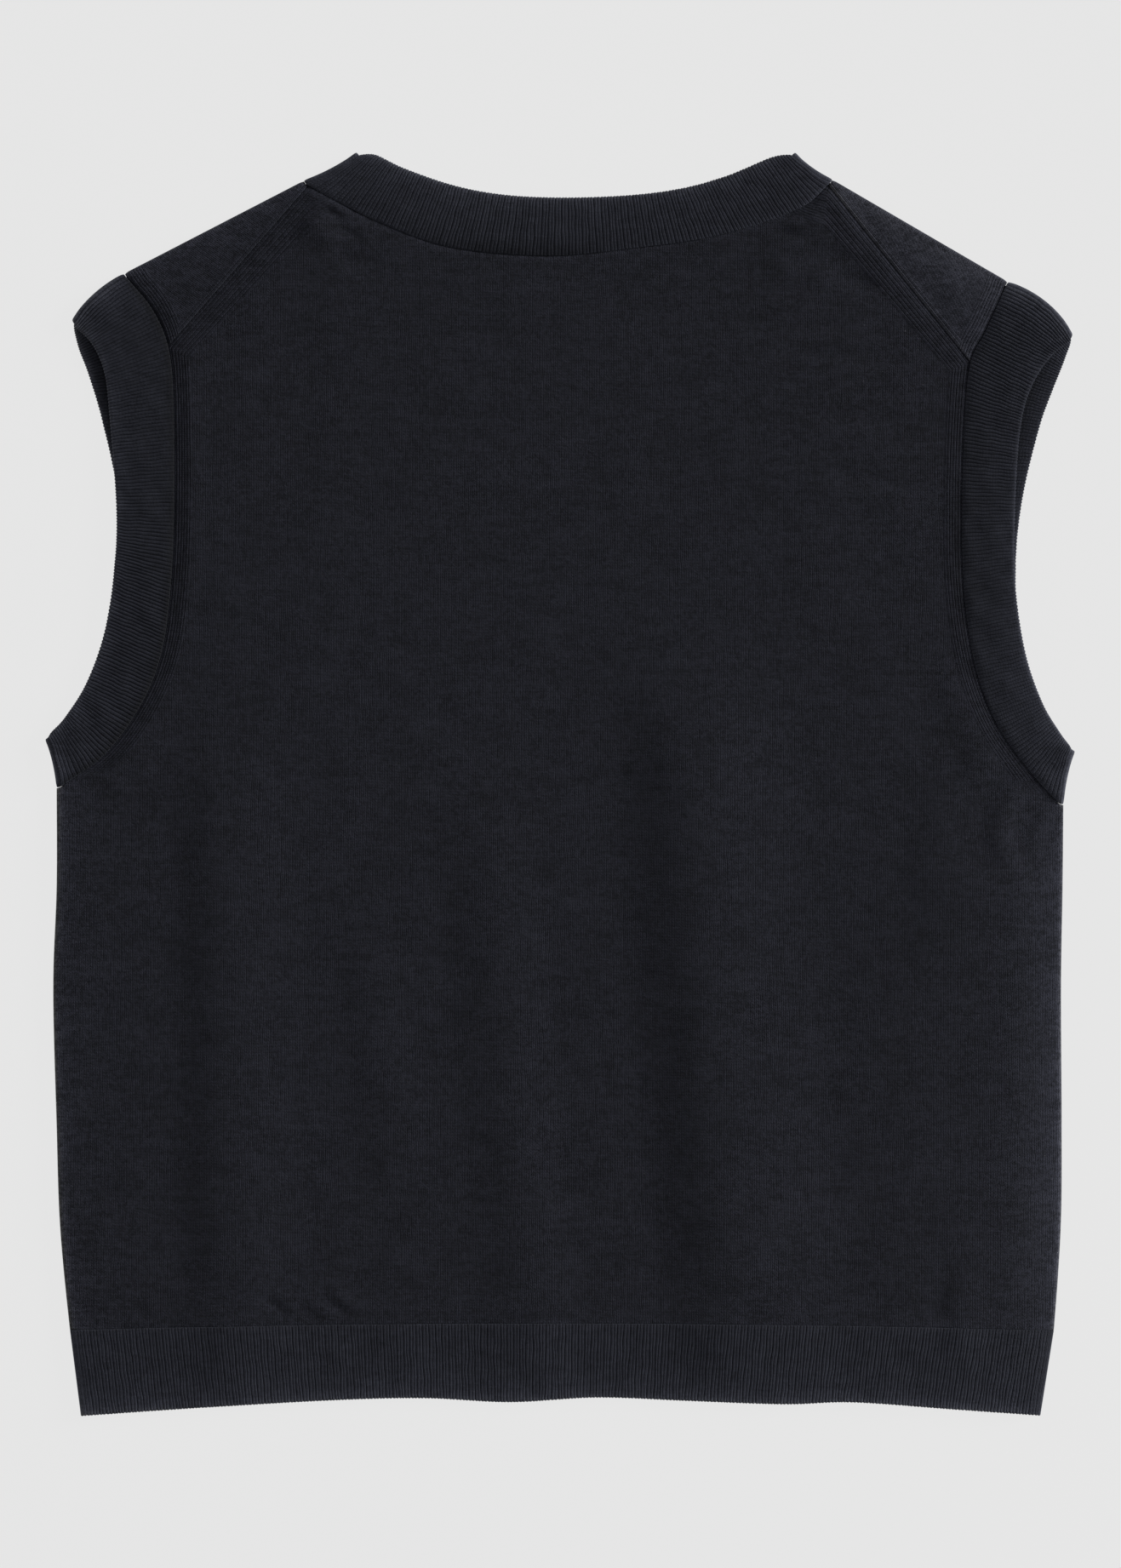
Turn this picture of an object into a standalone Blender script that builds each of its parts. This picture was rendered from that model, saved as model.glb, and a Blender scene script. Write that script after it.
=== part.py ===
"""Knitted sweater vest, lying flat on its front with its back upward.

The neck points to +Y, the hem to -Y and the wearer's left to -X. The front lies on the
ground plane z = 0 and the back lies on the front. Sizes and places are millimetres
here, and become metres where a mesh gets its vertices.
"""

import math
from typing import NamedTuple

import bmesh
import bpy
from mathutils import Vector

MM = 0.001

# ---------------------------------------------------------------- cloth
JERSEY = 1.2            # thickness of the plain knit
RIB_WALL = 1.5          # thickness of the rib knit in its grooves
RIB_RISE = 0.5          # how far a rib stands above its groove
SEAM_GAP = 0.3          # clear distance between two sewn pieces
CORNER_GAP = 0.5        # clear distance where a panel's corner meets a folded band
UPPER_INSIDE = 2.2      # height of the back's inner side where it lies lowest
JERSEY_FOLD = 1.7       # outer radius of the jersey where it folds over a shoulder
RIB_FOLD = 1.85         # outer radius of a rib band where it folds

# Ribs: distance from one rib to the next.
HEM_RIB_PITCH = 2.86
NECK_RIB_PITCH = 2.95
ARM_RIB_PITCH = 3.11

KNIT_COLOUR = (0.0137, 0.0144, 0.0185, 1.0)
KNIT_ROUGHNESS = 0.95

MERGE_DISTANCE = 1e-7   # in metres: only points at one place are merged


class Section(NamedTuple):
    """A line across a rib band, from its sewn edge to its free edge."""

    seam_x: float
    seam_y: float
    edge_x: float
    edge_y: float
    bow: float = 0.0    # how far the middle of a fold line bows out


class Side(NamedTuple):
    """Half widths of the body at one height."""

    y: float
    left: float
    right: float


class Foot(NamedTuple):
    """A point of the hem's lower edge."""

    x: float
    y: float


class Ridge(NamedTuple):
    """A soft fold of the back, from its head down to its foot."""

    head_x: float
    head_y: float
    foot_x: float
    foot_y: float
    left_flank: float
    right_flank: float
    height: float


# ---------------------------------------------------------------- outline
# Fold lines of the three bands.
NECK_FOLD_LEFT = Section(-112.2, 264.0, -88.4, 276.7, -1.0)
NECK_FOLD_RIGHT = Section(119.3, 264.4, 102.2, 276.7, -1.0)
SHOULDER_FOLD_LEFT = Section(-191.3, 223.0, -214.4, 202.1, 2.1)
SHOULDER_FOLD_RIGHT = Section(196.5, 219.5, 225.2, 195.8, 3.6)
UNDERARM_FOLD_LEFT = Section(-220.4, -1.9, -225.6, 20.1, -0.8)
UNDERARM_FOLD_RIGHT = Section(220.4, -9.3, 225.6, 14.9, -0.9)

# Neck band, from the left shoulder to the right one.
BACK_NECK = [
    NECK_FOLD_LEFT,
    Section(-98.5, 255.2, -80.5, 274.6),
    Section(-80.0, 246.0, -68.0, 268.7),
    Section(-54.0, 236.0, -46.0, 261.2),
    Section(-28.0, 231.9, -24.0, 257.2),
    Section(2.0, 231.0, 2.0, 256.0),
    Section(34.0, 234.4, 31.0, 257.1),
    Section(62.0, 238.2, 54.0, 260.2),
    Section(87.0, 244.8, 74.0, 265.9),
    Section(107.0, 252.9, 92.0, 273.4),
    NECK_FOLD_RIGHT,
]
FRONT_NECK = [
    NECK_FOLD_LEFT,
    Section(-106.8, 247.0, -84.5, 258.0),
    Section(-101.0, 224.0, -79.5, 236.0),
    Section(-83.0, 200.0, -66.0, 217.0),
    Section(-48.0, 182.0, -40.0, 204.5),
    Section(3.0, 175.5, 3.0, 199.0),
    Section(54.0, 182.0, 46.0, 204.5),
    Section(90.0, 200.0, 73.0, 217.0),
    Section(108.5, 224.0, 88.0, 236.0),
    Section(114.3, 247.0, 95.5, 258.0),
    NECK_FOLD_RIGHT,
]

# Armhole bands, from the shoulder to the underarm. The shoulder seam meets the third.
BACK_ARM_LEFT = [
    SHOULDER_FOLD_LEFT,
    Section(-178.4, 207.2, -204.8, 192.6),
    Section(-171.6, 191.0, -199.3, 180.3),
    Section(-169.3, 168.0, -197.1, 163.0),
    Section(-169.0, 119.3, -193.9, 119.3),
    Section(-170.8, 82.0, -195.2, 91.0),
    Section(-175.0, 55.0, -199.3, 65.5),
    Section(-184.0, 33.4, -206.8, 44.3),
    Section(-199.0, 13.0, -215.7, 29.7),
    UNDERARM_FOLD_LEFT,
]
FRONT_ARM_LEFT = [
    SHOULDER_FOLD_LEFT,
    Section(-185.8, 205.0, -210.6, 190.6),
    Section(-181.5, 184.0, -206.3, 179.2),
    Section(-177.6, 160.0, -200.6, 160.0),
    Section(-173.5, 125.0, -193.8, 128.0),
    Section(-171.5, 90.0, -193.5, 98.0),
    Section(-173.0, 60.0, -196.0, 72.0),
    Section(-181.0, 34.0, -204.0, 46.5),
    Section(-196.5, 11.5, -214.5, 28.5),
    UNDERARM_FOLD_LEFT,
]
BACK_ARM_RIGHT = [
    SHOULDER_FOLD_RIGHT,
    Section(186.5, 198.5, 213.5, 185.6),
    Section(179.7, 184.0, 205.2, 171.5),
    Section(177.1, 158.0, 200.9, 153.0),
    Section(176.0, 119.3, 198.8, 119.3),
    Section(176.9, 84.0, 198.9, 88.0),
    Section(181.5, 52.5, 203.3, 57.5),
    Section(190.9, 26.5, 210.9, 35.0),
    Section(205.5, 5.5, 219.2, 21.0),
    UNDERARM_FOLD_RIGHT,
]
FRONT_ARM_RIGHT = [
    SHOULDER_FOLD_RIGHT,
    Section(191.5, 200.5, 219.8, 183.0),
    Section(187.5, 181.0, 215.2, 171.5),
    Section(184.0, 158.0, 209.4, 155.0),
    Section(180.3, 125.0, 202.3, 125.0),
    Section(177.5, 92.0, 199.3, 96.0),
    Section(179.5, 60.0, 201.0, 66.0),
    Section(188.5, 30.0, 208.9, 39.0),
    Section(203.5, 6.5, 218.3, 22.5),
    UNDERARM_FOLD_RIGHT,
]
SHOULDER_SEAM_AT = 2    # row of the armhole tables where the shoulder seam ends
SEAM_START = 0.09       # and how far along the neck tables it starts

SIDES = [
    Side(0.0, -220.4, 220.4),
    Side(-45.0, -220.4, 220.0),
    Side(-90.0, -221.9, 219.3),
    Side(-150.0, -220.4, 219.6),
    Side(-194.0, -218.9, 219.2),
    Side(-239.0, -214.6, 216.2),
    Side(-254.0, -212.2, 214.3),
    Side(-277.0, -209.6, 210.2),
]

HEM_TOP = -236.6        # top of the hem rib at the middle
HEM_TOP_DROP = 2.9      # and how much lower it is at the sides
HALF_WIDTH = 216.0

HEM_FOOT = [
    Foot(-209.8, -276.7),
    Foot(-156.0, -273.0),
    Foot(-97.0, -269.7),
    Foot(-59.0, -268.9),
    Foot(-22.0, -270.6),
    Foot(16.0, -268.6),
    Foot(55.0, -270.0),
    Foot(98.0, -271.5),
    Foot(128.0, -270.7),
    Foot(170.0, -273.6),
    Foot(210.3, -276.5),
]

# ---------------------------------------------------------------- folds of the back
RIDGES = [
    Ridge(-149.0, 48.0, -146.5, -238.0, 24.0, 42.0, 2.6),
    Ridge(-88.0, -30.0, -70.0, -205.0, 18.0, 20.0, 1.0),
    Ridge(-38.0, 22.0, -12.0, -238.0, 26.0, 26.0, 1.6),
    Ridge(52.0, 72.0, 77.0, -238.0, 38.0, 58.0, 4.4),
    Ridge(171.0, 40.0, 164.0, -100.0, 20.0, 34.0, 1.5),
    Ridge(178.0, -176.0, 176.0, -238.0, 12.0, 14.0, 1.0),
]
RIDGE_FADE = 70.0       # length over which a fold rises from its head or foot
LEFT_SWELL = 0.9        # how far the back swells up beside its left side seam
LEFT_SWELL_REACH = 16.0     # distance of that swelling's top from the seam
RIGHT_SWELL = 4.4
RIGHT_SWELL_REACH = 25.0
SWELL_FALL = 130.0      # length over which a swelling falls again
UNDERARM_FADE = 45.0    # the swelling grows over this length below the underarm
HEM_HOLD = 0.55         # share of the folds' height left where the rib gathers them
HEM_HOLD_LENGTH = 40.0
HEM_FOOT_SHARE = 0.35   # share of it left at the hem's free edge
EDGE_CALM = 14.0        # folds die out over this distance from neck and armholes

# ---------------------------------------------------------------- mesh density
SHOULDER_COLUMNS = 7
BACK_NECK_COLUMNS = 24
FRONT_NECK_COLUMNS = 20
BACK_SIDE_ROWS = 12
FRONT_SIDE_ROWS = 6
ARM_ROWS = 11
YOKE_ROWS = 3
FOLD_STEPS = 6
PLAIN_HEM_COLUMNS = 16
PLAIN_BAND_STEP = 12.0
LENGTH_SAMPLES = 40     # points of a row of a band's table at which lengths are measured
SEAM_SAMPLES = 60       # and points of a whole seam at which distances are
TANGENT_REACH = 0.05    # rows to either side between which a seam's direction is read

BACK_TURN = (0.0, 35.0, 70.0)       # angles of the wall's turn at the side seam
FRONT_TURN = (0.0, 45.0, 90.0)
BACK_NEAR_EDGE = (4.0, 9.0)         # further columns beside the side seam
CALM_INSETS = (0.0, 1.0, 2.2)       # the turn's columns where the edge lies flat


# ---------------------------------------------------------------- curves
def smooth_step(share):
    """Ease a share from 0 to 1."""
    share = min(max(share, 0.0), 1.0)
    return share * share * (3.0 - 2.0 * share)


def spline(points, t):
    """Return the point at t rows along a smooth curve through the points."""
    last = len(points) - 1
    index = min(int(t), last - 1)
    f = t - index
    p1, p2 = points[index], points[index + 1]
    p0 = points[index - 1] if index > 0 else p1 * 2.0 - p2
    p3 = points[index + 2] if index + 2 <= last else p2 * 2.0 - p1
    return 0.5 * (
        2.0 * p1
        + (p2 - p0) * f
        + (2.0 * p0 - 5.0 * p1 + 4.0 * p2 - p3) * f ** 2
        + (3.0 * p1 - p0 - 3.0 * p2 + p3) * f ** 3
    )


def chord(points, stations, t):
    """Return the point at t on the straight chords between the curve's stations."""
    for low, high in zip(stations, stations[1:]):
        if t <= high:
            break
    share = (t - low) / (high - low)
    return spline(points, low).lerp(spline(points, high), min(max(share, 0.0), 1.0))


def spread(start, end, steps):
    """Return steps + 1 numbers from start to end."""
    return [start + (end - start) * i / steps for i in range(steps + 1)]


def side_x(y, left):
    """Return where the body's side runs at height y."""
    for t, (low, high) in enumerate(zip(SIDES, SIDES[1:])):
        if y >= high.y:
            break
    share = min(max((low.y - y) / (low.y - high.y), 0.0), 1.0)
    line = [Vector((row.y, row.left if left else row.right)) for row in SIDES]
    return spline(line, t + share).y


def hem_top_y(x):
    """Return the height of the seam between panel and hem rib."""
    return HEM_TOP - HEM_TOP_DROP * (x / HALF_WIDTH) ** 2


# ---------------------------------------------------------------- band lines
class BandLine:
    """Half of a rib band, as curves along its sewn edge, middle and free edge."""

    def __init__(self, sections, stations):
        self.stations = stations
        self.last = len(sections) - 1
        self.outward = [fold_direction(sections, 0), fold_direction(sections, self.last)]
        self.seam, self.middle, self.edge = [], [], []
        for index, row in enumerate(sections):
            seam = Vector((row.seam_x, row.seam_y))
            edge = Vector((row.edge_x, row.edge_y))
            middle = (seam + edge) / 2.0
            if index in (0, self.last):
                out = self.outward[0 if index == 0 else 1]
                middle += out * row.bow
                seam, middle, edge = (p - out * RIB_FOLD for p in (seam, middle, edge))
            self.seam.append(seam)
            self.middle.append(middle)
            self.edge.append(edge)

    def across(self, t):
        """Return the band's sewn, middle and free points at row t."""
        return [
            chord(self.seam, self.stations, t),
            spline(self.middle, t),
            spline(self.edge, t),
        ]

    def rows_by_length(self, step):
        """Return row values about one step apart along the middle, an even number."""
        fine = spread(0.0, self.last, LENGTH_SAMPLES * self.last)
        lengths = [0.0]
        for low, high in zip(fine, fine[1:]):
            part = (spline(self.middle, high) - spline(self.middle, low)).length
            lengths.append(lengths[-1] + part)
        count = 2 * round(lengths[-1] / step / 2.0)
        rows, index = [], 0
        for target in spread(0.0, lengths[-1], count):
            while index < len(fine) - 2 and lengths[index + 1] < target:
                index += 1
            share = (target - lengths[index]) / (lengths[index + 1] - lengths[index])
            rows.append(fine[index] + (fine[index + 1] - fine[index]) * min(share, 1.0))
        return rows

    def panel_point(self, t):
        """Return the panel's edge beside row t, one seam gap from the band."""
        ahead = spline(self.seam, min(t + TANGENT_REACH, self.last))
        behind = spline(self.seam, max(t - TANGENT_REACH, 0.0))
        along = (ahead - behind).normalized()
        normal = Vector((-along.y, along.x))
        seam = spline(self.seam, t)
        if normal.dot(seam - spline(self.edge, t)) < 0.0:
            normal.negate()
        return seam + normal * SEAM_GAP


def fold_direction(sections, index):
    """Return the direction in which the band's fold faces at its first or last row."""
    row = sections[index]
    beside = sections[1 if index == 0 else index - 1]
    line = Vector((row.edge_x - row.seam_x, row.edge_y - row.seam_y)).normalized()
    normal = Vector((-line.y, line.x))
    inner = Vector((beside.seam_x - row.seam_x, beside.seam_y - row.seam_y))
    return -normal if normal.dot(inner) > 0.0 else normal


ARM_LAST = len(BACK_ARM_LEFT) - 1
NECK_LAST = len(BACK_NECK) - 1
YOKE_STATIONS = spread(0.0, SHOULDER_SEAM_AT, YOKE_ROWS)
PANEL_STATIONS = spread(SHOULDER_SEAM_AT, ARM_LAST, ARM_ROWS)
BACK_ARM_STATIONS = YOKE_STATIONS + PANEL_STATIONS[1:]
FRONT_ARM_STATIONS = spread(0.0, ARM_LAST, ARM_ROWS + YOKE_ROWS)
BACK_NECK_STATIONS = spread(SEAM_START, NECK_LAST - SEAM_START, BACK_NECK_COLUMNS)
FRONT_NECK_STATIONS = spread(0.0, NECK_LAST, FRONT_NECK_COLUMNS)

BACK_NECK_LINE = BandLine(BACK_NECK, [0.0] + BACK_NECK_STATIONS + [NECK_LAST])
FRONT_NECK_LINE = BandLine(FRONT_NECK, FRONT_NECK_STATIONS)
ARM_LINES = {
    "left": (
        BandLine(BACK_ARM_LEFT, BACK_ARM_STATIONS),
        BandLine(FRONT_ARM_LEFT, FRONT_ARM_STATIONS),
    ),
    "right": (
        BandLine(BACK_ARM_RIGHT, BACK_ARM_STATIONS),
        BandLine(FRONT_ARM_RIGHT, FRONT_ARM_STATIONS),
    ),
}


# ---------------------------------------------------------------- height of the back
def ridge_height(ridge, x, y):
    """Return how far one soft fold lifts the back at a place."""
    share = (ridge.head_y - y) / (ridge.head_y - ridge.foot_y)
    crest = ridge.head_x + (ridge.foot_x - ridge.head_x) * share
    flank = ridge.left_flank if x < crest else ridge.right_flank
    reach = abs(x - crest) / flank
    if reach >= 1.0 or y > ridge.head_y:
        return 0.0
    lift = ridge.height * 0.5 * (1.0 + math.cos(math.pi * reach))
    lift *= smooth_step((ridge.head_y - y) / RIDGE_FADE)
    if ridge.foot_y > HEM_TOP:
        lift *= smooth_step((y - ridge.foot_y) / RIDGE_FADE)
    return lift


def swell(distance, height, reach):
    """Return the swelling of the back at a distance from its side seam."""
    rising = math.sin(math.pi / 2.0 * min(max(distance / reach, 0.0), 1.0))
    return height * rising * (1.0 - smooth_step((distance - reach) / SWELL_FALL))


def edge_distance(x, y):
    """Return the distance to the nearest neck or armhole seam of the back."""
    here = Vector((x, y))
    lines = [BACK_NECK_LINE, ARM_LINES["left"][0], ARM_LINES["right"][0]]
    places = [
        spline(line.seam, t) for line in lines for t in spread(0.0, line.last, SEAM_SAMPLES)
    ]
    return min((here - place).length for place in places)


def relief(x, y):
    """Return how far the back rises above its lowest lie."""
    lift = sum(ridge_height(ridge, x, y) for ridge in RIDGES)
    below = smooth_step((UNDERARM_FOLD_LEFT.seam_y - y) / UNDERARM_FADE)
    sides = swell(x - side_x(y, True), LEFT_SWELL, LEFT_SWELL_REACH)
    sides += swell(side_x(y, False) - x, RIGHT_SWELL, RIGHT_SWELL_REACH)
    lift += sides * below
    hold = smooth_step((y - HEM_TOP) / HEM_HOLD_LENGTH)
    lift *= HEM_HOLD + (1.0 - HEM_HOLD) * hold
    return lift * smooth_step(edge_distance(x, y) / EDGE_CALM)


# ---------------------------------------------------------------- walls
def new_object(name, mesh_data):
    """Link a mesh to the scene with the knit's own material."""
    material = bpy.data.materials.new(name + "_knit")
    material.use_nodes = True
    shader = material.node_tree.nodes["Principled BSDF"]
    shader.inputs["Base Color"].default_value = KNIT_COLOUR
    shader.inputs["Roughness"].default_value = KNIT_ROUGHNESS
    shader.inputs["Metallic"].default_value = 0.0
    material.diffuse_color = KNIT_COLOUR
    mesh_data.materials.append(material)
    obj = bpy.data.objects.new(name, mesh_data)
    bpy.context.scene.collection.objects.link(obj)
    return obj


def make_wall(name, outer, inner, ring=False):
    """Make a closed wall from rows of outer points and the same rows of inner points.

    A point that is None leaves its place out of the wall. A ring's last row is its
    first one again.
    """
    rows, columns = len(outer) - 1, len(outer[0]) - 1
    sheet = bmesh.new()
    behind = sheet.verts.layers.float_vector.new("behind")
    bmesh.ops.create_grid(sheet, x_segments=columns, y_segments=rows, size=0.5)
    unused = []
    for vertex in sheet.verts:
        row = round((vertex.co.y + 0.5) * rows)
        column = round((vertex.co.x + 0.5) * columns)
        if outer[row][column] is None:
            unused.append(vertex)
            continue
        vertex[behind] = inner[row][column] * MM
        vertex.co = outer[row][column] * MM
    bmesh.ops.delete(sheet, geom=unused, context="VERTS")
    if ring:
        bmesh.ops.remove_doubles(sheet, verts=sheet.verts, dist=MERGE_DISTANCE)
    wall = bmesh.ops.extrude_face_region(sheet, geom=sheet.faces[:])
    for item in wall["geom"]:
        if isinstance(item, bmesh.types.BMVert):
            item.co = item[behind]
    bmesh.ops.recalc_face_normals(sheet, faces=sheet.faces)
    mesh_data = bpy.data.meshes.new(name)
    sheet.to_mesh(mesh_data)
    sheet.free()
    mesh_data.shade_smooth()
    return new_object(name, mesh_data)


def patch(left, right, bottom, top, straight_rows=0):
    """Fill four edges with rows of places between them.

    The edges are lists of points: left and right run up, bottom and top run across.
    Rows take the shape of the top only above the first straight_rows of them.
    """
    rows, columns = len(left) - 1, len(bottom) - 1
    places = []
    for i in range(rows + 1):
        v = max(i - straight_rows, 0) / (rows - straight_rows)
        row = []
        for j in range(columns + 1):
            u = j / columns
            sides = left[i].lerp(right[i], u)
            ends = bottom[j].lerp(top[j], v)
            corners = bottom[0].lerp(bottom[-1], u).lerp(top[0].lerp(top[-1], u), v)
            row.append(sides + ends - corners)
        places.append(row)
    return places


class WallPoint(NamedTuple):
    """An outer and an inner point of a wall."""

    outer: Vector
    inner: Vector


def flat_point(place, outer_z, inner_z):
    """Return a wall point straight above a place."""
    return WallPoint(Vector((*place, outer_z)), Vector((*place, inner_z)))


def turned_point(place, inward, angle, radius, wall, centre_z, up):
    """Return a wall point on the turn at a side seam.

    The wall stands upright at angle 0 and lies flat at 90 degrees. up is 1 for the
    upper layer, which turns down to the seam, and -1 for the lower one.
    """
    c, s = math.cos(math.radians(angle)), math.sin(math.radians(angle))
    outer = place + inward * (radius - radius * c)
    inner = place + inward * (radius - (radius - wall) * c)
    return WallPoint(
        Vector((*outer, centre_z + up * radius * s)),
        Vector((*inner, centre_z + up * (radius - wall) * s)),
    )


def split(rows):
    """Part rows of wall points into their outer and inner rows."""
    outer = [[point and point.outer for point in row] for row in rows]
    inner = [[point and point.inner for point in row] for row in rows]
    return outer, inner


def panel_row(places, turned, angles, turn, level, further=()):
    """Dress one row of a panel's places with wall points, its two edges included.

    turned says whether the row's ends turn at the side seams. turn(place, inward,
    angle) and level(place) give the wall points, and further holds extra distances
    from each edge.
    """
    def end(first, second):
        inward = (second - first).normalized()
        points = []
        for angle, inset in zip(angles, CALM_INSETS):
            if turned:
                points.append(turn(first, inward, angle))
            else:
                points.append(level(first + inward * inset))
        points += [level(first + inward * inset) for inset in further]
        return points

    middle = [level(place) for place in places[1:-1]]
    return end(places[0], places[1]) + middle + end(places[-1], places[-2])[::-1]


# ---------------------------------------------------------------- panels
def shoulder_seam(side, towards_yoke):
    """Return the ends of a shoulder seam at armhole and neck, moved off its middle."""
    arm = ARM_LINES[side][0].panel_point(SHOULDER_SEAM_AT)
    neck_t = SEAM_START if side == "left" else NECK_LAST - SEAM_START
    neck = BACK_NECK_LINE.panel_point(neck_t)
    along = (neck - arm).normalized()
    off = Vector((-along.y, along.x)) * (SEAM_GAP / 2.0)
    if off.y < 0.0:
        off.negate()
    return (arm + off, neck + off) if towards_yoke else (arm - off, neck - off)


def side_edge(side, rows):
    """Return a panel's side from the hem's top to the underarm, as a list of points."""
    fold = UNDERARM_FOLD_LEFT if side == "left" else UNDERARM_FOLD_RIGHT
    left = side == "left"
    foot = hem_top_y(HALF_WIDTH) + SEAM_GAP
    heights = spread(foot, fold.seam_y - CORNER_GAP, rows)
    return [Vector((side_x(y, left), y)) for y in heights]


def hem_seam_edge(top):
    """Return a panel's lower edge from left to right, its points spread as the top's are."""
    foot = hem_top_y(HALF_WIDTH)
    left, right = side_x(foot, True), side_x(foot, False)
    shares = [(place.x - top[0].x) / (top[-1].x - top[0].x) for place in top]
    across = [left + (right - left) * share for share in shares]
    return [Vector((x, hem_top_y(x) + SEAM_GAP)) for x in across]


def line_between(ends, steps):
    """Return steps + 1 points from the first end to the second."""
    return [ends[0].lerp(ends[1], i / steps) for i in range(steps + 1)]


def back_turn(place, inward, angle):
    """Return the back's wall point at an angle of its turn down to the side seam."""
    centre = JERSEY_FOLD + SEAM_GAP / 2.0
    radius = UPPER_INSIDE + JERSEY - centre
    return turned_point(place, inward, angle, radius, JERSEY, centre, 1.0)


def back_level(place):
    """Return the back's wall point where it lies."""
    lift = UPPER_INSIDE + relief(place.x, place.y)
    return flat_point(place, lift + JERSEY, lift)


def front_turn(place, inward, angle):
    """Return the front's wall point at an angle of its turn up to the side seam."""
    radius = JERSEY_FOLD - SEAM_GAP / 2.0
    return turned_point(place, inward, angle, radius, JERSEY, radius, -1.0)


def front_level(place):
    """Return the front's wall point on the ground."""
    return flat_point(place, 0.0, JERSEY)


def yoke_level(place):
    """Return the wall point of a shoulder extension on the back."""
    return flat_point(place, UPPER_INSIDE + JERSEY, UPPER_INSIDE)


def build_back_panel():
    """Build the back, from the hem's seam to the shoulder and neck seams."""
    edges = {}
    for side in ("left", "right"):
        line = ARM_LINES[side][0]
        arm = [line.panel_point(t) for t in reversed(PANEL_STATIONS)]
        arm[-1] = shoulder_seam(side, False)[0]
        edges[side] = side_edge(side, BACK_SIDE_ROWS) + arm
    neck = [BACK_NECK_LINE.panel_point(t) for t in BACK_NECK_STATIONS]
    left_seam = line_between(shoulder_seam("left", False), SHOULDER_COLUMNS)
    right_seam = line_between(shoulder_seam("right", False)[::-1], SHOULDER_COLUMNS)
    top = left_seam + neck[1:-1] + right_seam
    bottom = hem_seam_edge(top)
    grid = patch(edges["left"], edges["right"], bottom, top, BACK_SIDE_ROWS)
    rows = []
    for i, places in enumerate(grid):
        turned = i <= BACK_SIDE_ROWS
        row = panel_row(places, turned, BACK_TURN, back_turn, back_level, BACK_NEAR_EDGE)
        rows.append(row)
    return make_wall("back_panel", *split(rows))


def shoulder_extension(side):
    """Return the rows of wall points of one shoulder extension, from arm to neck.

    They start on the fold's lower side, turn over the shoulder and end at the seam.
    """
    back_line, front_line = ARM_LINES[side]
    neck_t = 0.0 if side == "left" else float(NECK_LAST)
    fold = (front_line.panel_point(0.0), FRONT_NECK_LINE.panel_point(neck_t))
    upper = (back_line.panel_point(0.0), BACK_NECK_LINE.panel_point(neck_t))
    along = (fold[1] - fold[0]).normalized()
    out = Vector((-along.y, along.x))
    if out.y < 0.0:
        out.negate()
    low = line_between(fold, SHOULDER_COLUMNS)
    high = line_between(upper, SHOULDER_COLUMNS)
    rows = []
    for step in range(1, FOLD_STEPS):
        angle = math.pi * step / FOLD_STEPS - math.pi / 2.0
        outer_off = out * (JERSEY_FOLD * math.cos(angle))
        inner_off = out * ((JERSEY_FOLD - JERSEY) * math.cos(angle))
        outer_z = JERSEY_FOLD + JERSEY_FOLD * math.sin(angle)
        inner_z = JERSEY_FOLD + (JERSEY_FOLD - JERSEY) * math.sin(angle)
        row = []
        for a, b in zip(low, high):
            place = a.lerp(b, step / FOLD_STEPS)
            outer = Vector((*(place + outer_off), outer_z))
            row.append(WallPoint(outer, Vector((*(place + inner_off), inner_z))))
        rows.append(row)
    seam = shoulder_seam(side, True)
    arm = [back_line.panel_point(t) for t in YOKE_STATIONS]
    arm[-1] = seam[0]
    neck = line_between((upper[1], seam[1]), YOKE_ROWS)
    for places in patch(arm, neck, high, line_between(seam, SHOULDER_COLUMNS)):
        rows.append([yoke_level(place) for place in places])
    return rows


def widened(row, steps):
    """Add the panel's near-edge columns to a row that starts at the armhole."""
    extra = []
    first, second = row[0], row[1]
    length = (second.outer - first.outer).length
    for inset in steps:
        share = inset / length
        outer = first.outer.lerp(second.outer, share)
        extra.append(WallPoint(outer, first.inner.lerp(second.inner, share)))
    return [first] + extra + row[1:]


def build_front_panel():
    """Build the front with both shoulder extensions folded over to the back."""
    edges = {}
    for side in ("left", "right"):
        line = ARM_LINES[side][1]
        arm = [line.panel_point(t) for t in reversed(FRONT_ARM_STATIONS)]
        edges[side] = side_edge(side, FRONT_SIDE_ROWS) + arm
    neck = [FRONT_NECK_LINE.panel_point(t) for t in FRONT_NECK_STATIONS]
    left_fold = line_between((edges["left"][-1], neck[0]), SHOULDER_COLUMNS)
    right_fold = line_between((neck[-1], edges["right"][-1]), SHOULDER_COLUMNS)
    top = left_fold + neck[1:-1] + right_fold
    bottom = hem_seam_edge(top)
    grid = patch(edges["left"], edges["right"], bottom, top, FRONT_SIDE_ROWS + 1)
    rows = []
    for i, places in enumerate(grid):
        turned = i <= FRONT_SIDE_ROWS
        rows.append(panel_row(places, turned, FRONT_TURN, front_turn, front_level))
    left_rows = shoulder_extension("left")
    right_rows = shoulder_extension("right")
    gap = [None] * (FRONT_NECK_COLUMNS - 1)
    for left, right in zip(left_rows, right_rows):
        left = widened(left, CALM_INSETS[1:])
        right = widened(right, CALM_INSETS[1:])
        rows.append(left + gap + right[::-1])
    return make_wall("front_panel", *split(rows))


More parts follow.
